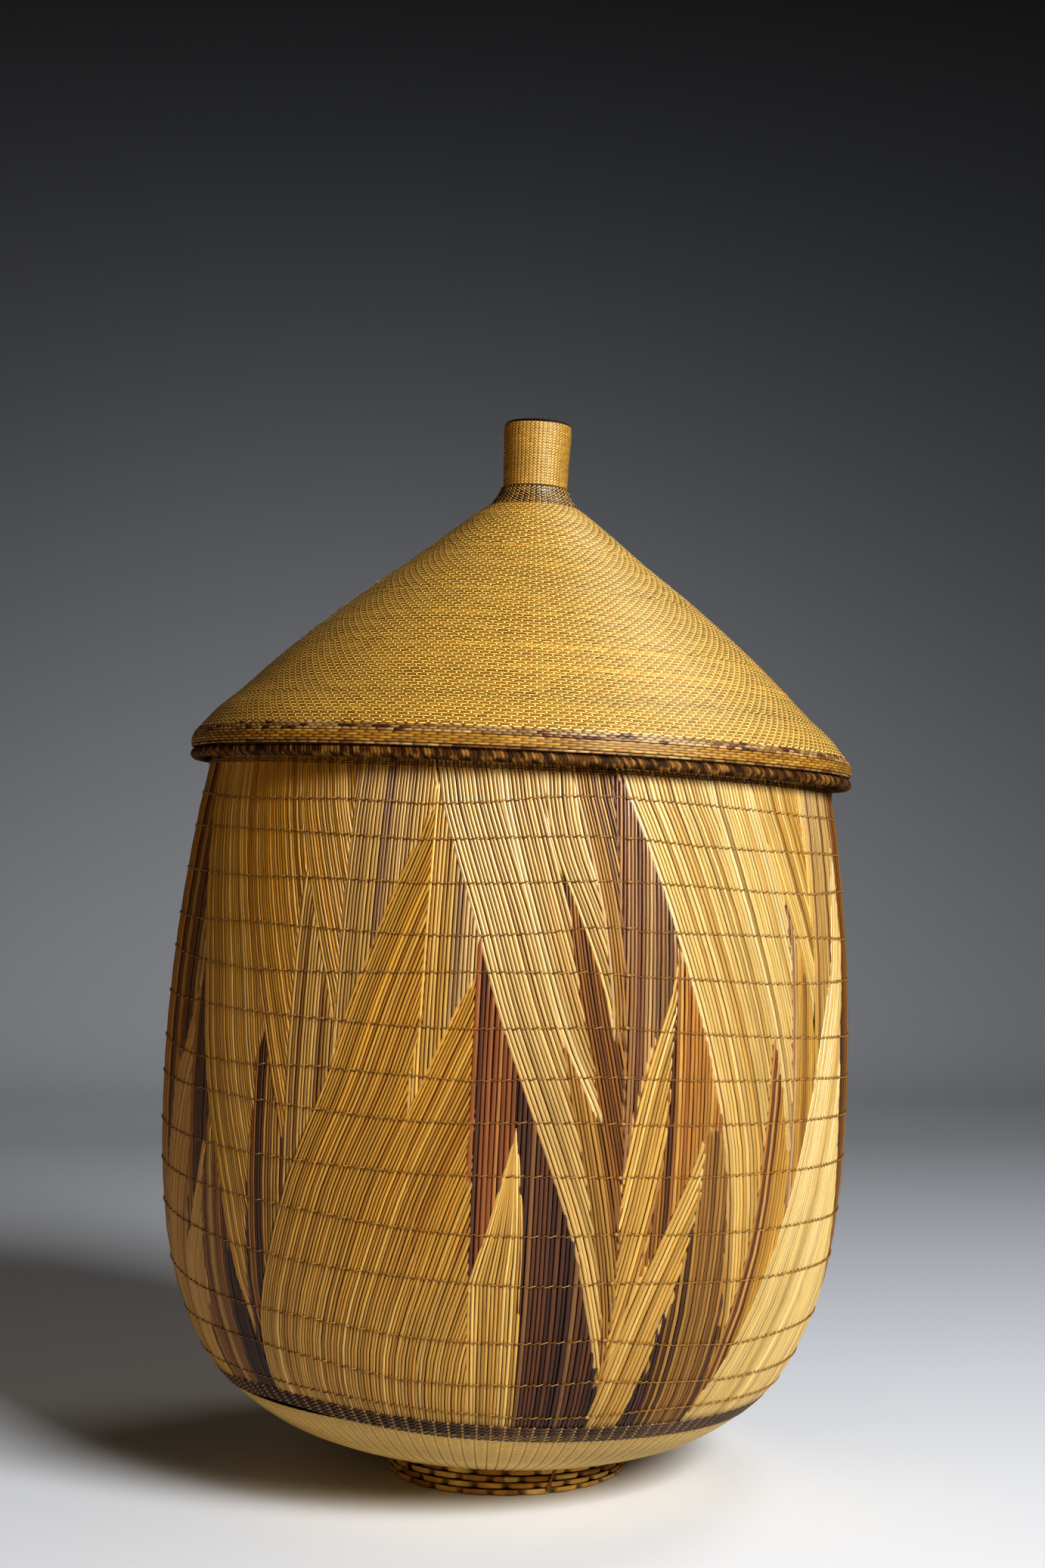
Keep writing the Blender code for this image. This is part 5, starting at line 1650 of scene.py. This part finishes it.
def foot_strip(angle, radius, low, high):
    """A flat closed strip round the foot: six points across, with rounded edges."""
    across = np.array([0.0, 0.15, 0.5, 0.85, 1.0, 0.5])
    out = np.array([0.3, 0.85, 1.0, 0.85, 0.3, 0.0]) * CANE_THICKNESS
    share = low + (high - low) * across
    return foot_points(radius[:, None] + out, angle[:, None], share)


CANE = fibre_material("split cane", 2.0, 3.0, 0.4, 0.5, specular=0.5)
CANE_SHADES = [(240, 196, 112), (222, 176, 92), (248, 212, 134), (200, 152, 78)]


def cane_row(row):
    """Behind every second upright: the radius is a flattened wave round the foot."""
    angle = circle(UPRIGHTS * CANE_STEPS)
    phase = angle * UPRIGHTS / 2 + np.pi * (row % 2)
    wave = np.tanh(4 * (np.cos(phase) + 0.75))
    radius = FOOT_RADIUS - 0.1 + 0.9 * wave
    wobble = 0.006 * np.sin(5 * angle + 2 * row)
    pitch = FOOT_SHARE / CANE_ROWS
    low = FOOT_LOW + pitch * row + wobble * (row > 0)
    high = FOOT_LOW + pitch * (row + 1) - CANE_GAP + wobble * (row < CANE_ROWS - 1)
    points = foot_strip(angle, radius, low[:, None], high[:, None])
    faces, corner = grid_faces(*points.shape[:2], True, True)
    table = picked_tone(CANE_SHADES, 400, 80 + row)
    number = np.floor((phase + np.pi) / (2 * np.pi)).astype(int)
    # Painted shade: the strip is darker where it dives behind an upright.
    shade = table[number] * (0.35 + 0.65 * ease((wave + 1) / 1.6))[:, None]
    return points, faces, corner[..., ::-1] / [6, 2 * CANE_STEPS], np.repeat(shade, 6, axis=0)


for row in range(CANE_ROWS):
    node = f"foot_cane_row_{row + 1}"
    add_piece(node + "_strip", *cane_row(row), CANE, "basket", [node], "split_cane")


def upright_ring():
    """A ring whose outer side swells once for each upright, closed top, bottom and back."""
    angle = circle(UPRIGHTS * UPRIGHT_STEPS)
    swell = np.abs(np.cos(angle * UPRIGHTS / 2)) ** FULLNESS
    radius = FOOT_RADIUS - 1.6 + 1.3 * swell
    shares = np.array([0.0, 0.5, 1.0, 1.0, 0.5, 0.0])
    inner = np.array([0, 0, 0, 1, 1, 1])
    ring = np.where(inner, FOOT_RADIUS - 3.0, radius[:, None])
    points = foot_points(ring, angle[:, None], np.broadcast_to(shares, ring.shape))
    faces, corner = grid_faces(*ring.shape, True, True)
    # Painted shade: the uprights are dark, and darker still between their swells, as they lie back in
    # the shade behind the canes.
    shade = linear((74, 50, 28)) * (0.5 + 0.5 * swell)[:, None]
    return points, faces, corner / [UPRIGHT_STEPS, 6], np.repeat(shade, 6, axis=0)


add_piece("foot_uprights_ring", *upright_ring(), CANE, "basket", ["foot_uprights"], "split_cane")


TIE_SIZE, KNOT_SWELL, KNOT_PLACE = 0.9, 0.7, 0.78
TIE_TONE = linear((176, 134, 72))


def foot_tie(top_angle, low_angle, top, low):
    """A narrow strip laid over the rows, swollen where it is knotted."""
    part = np.linspace(0, 1, 17)[:, None]
    angle = np.radians(top_angle + (low_angle - top_angle) * part)
    share = top + (low - top) * part
    size = TIE_SIZE * (1 + KNOT_SWELL * np.exp(-((part - KNOT_PLACE) / 0.1) ** 2))
    turn = circle(8)
    radius = FOOT_RADIUS + 1.9 + 0.55 * size * np.sin(turn)
    points = foot_points(radius, angle + size * np.cos(turn) / FOOT_RADIUS, share * np.ones(8))
    faces, corner = grid_faces(*radius.shape)
    tones = np.broadcast_to(TIE_TONE, points.shape)
    return points, *capped(faces, corner[..., ::-1] / 8, *radius.shape), tones


for node, tie in (("foot_tie_left", (-52, -54.5, 0.92, 0.40)),
                  ("foot_tie_right", (23, 19.5, 0.92, 0.12))):
    add_piece(node + "_strip", *foot_tie(*tie), CANE, "basket", [node], "split_cane")

# %% [markdown]
# ## Floor
#
# A wide plain plane, bent up far behind the basket, so that no edge shows. Its paint darkens
# up the bend and a little towards the right, with a darker stretch some way behind the basket:
# painted shade where the light falls off.

# %% Floor
# Painted shade: the floor's grey along the strip, darker up the bend and over a stretch behind the
# basket.
FLOOR_PAINTED_SHADE_STOPS = ((-0.5, 0.84), (0.2, 0.80), (0.47, 0.71), (0.8, 0.62), (1.15, 0.66), (1.6, 0.94),
               (1.75, 0.73), (1.95, 0.54), (2.05, 0.445), (2.2, 0.295), (2.35, 0.143),
               (2.47, 0.08), (2.6, 0.053), (2.72, 0.043), (2.9, 0.041))
FLOOR_TINT = (0.98, 0.99, 1.02)
# Painted shade: how much darker the floor is towards the right.
FLOOR_PAINTED_FALLOFF = 0.24
FLOOR_START, FLOOR_END, BEND_START, BEND = -2.5, 3.0, 1.6, 1.1
FLOOR_SIDES = np.array([-4.0, -1.0, 1.0, 4.0])


def floor_material():
    """Pale paint that darkens up the back, by a colour ramp along the strip, and a little
    towards the right: painted shade where the light falls off."""
    material = bpy.data.materials.new("floor")
    material.use_nodes = True
    tree = material.node_tree
    shader = tree.nodes["Principled BSDF"]
    shader.inputs["Roughness"].default_value = 0.8
    shader.inputs["Specular IOR Level"].default_value = 0.2
    u, v = split_uv(tree)
    ramp = tree.nodes.new("ShaderNodeValToRGB")
    tree.links.new(v, ramp.inputs["Fac"])
    elements = ramp.color_ramp.elements
    elements.remove(elements[1])
    for k, (run, grey) in enumerate(FLOOR_PAINTED_SHADE_STOPS):
        stop = elements[0] if k == 0 else elements.new(0.5)
        stop.position = (run - FLOOR_START) / (FLOOR_END - FLOOR_START)
        stop.color = (*(grey * part for part in FLOOR_TINT), 1)
    # Painted shade towards the right.
    fall = add_math(tree, "MULTIPLY_ADD", u, -FLOOR_PAINTED_FALLOFF, 1.0)
    tree.links.new(tinted(tree, ramp.outputs["Color"], fall), shader.inputs["Base Color"])
    return material


def add_floor():
    """A strip from behind the camera to the back, where it curves up as a parabola."""
    side = FLOOR_SIDES
    run = np.linspace(FLOOR_START, FLOOR_END, 60)
    height = BEND * np.clip(run - BEND_START, 0, None) ** 2
    points = np.stack(np.broadcast_arrays(side[None], run[:, None], height[:, None]), axis=-1)
    mesh = bpy.data.meshes.new("floor")
    faces, _ = grid_faces(len(run), len(side), closed_columns=False)
    mesh.from_pydata(points.reshape(-1, 3).tolist(), [], faces.tolist())
    mesh.shade_smooth()
    layer = mesh.uv_layers.new(name="UVMap")
    corners = np.zeros(len(mesh.loops), np.int32)
    mesh.loops.foreach_get("vertex_index", corners)
    along = (run[corners // len(side)] - run[0]) / (run[-1] - run[0])
    metres = np.clip(side[corners % len(side)], -1.0, 1.0)
    layer.data.foreach_set("uv", np.stack([metres, along], axis=-1).ravel().astype(np.float32))
    mesh.materials.append(floor_material())
    floor = bpy.data.objects.new("floor", mesh)
    bpy.context.scene.collection.objects.link(floor)
    return floor


floor = add_floor()

# %% [markdown]
# The lamp behind the basket would wash out the shadow on the floor, so it is linked to the
# basket's own meshes and lights nothing else.

# %% The lamp behind shines on the basket alone
basket_only = bpy.data.collections.new("basket only")
for piece in bpy.context.scene.objects:
    if piece.type == "MESH" and piece != floor:
        basket_only.objects.link(piece)
behind.light_linking.receiver_collection = basket_only
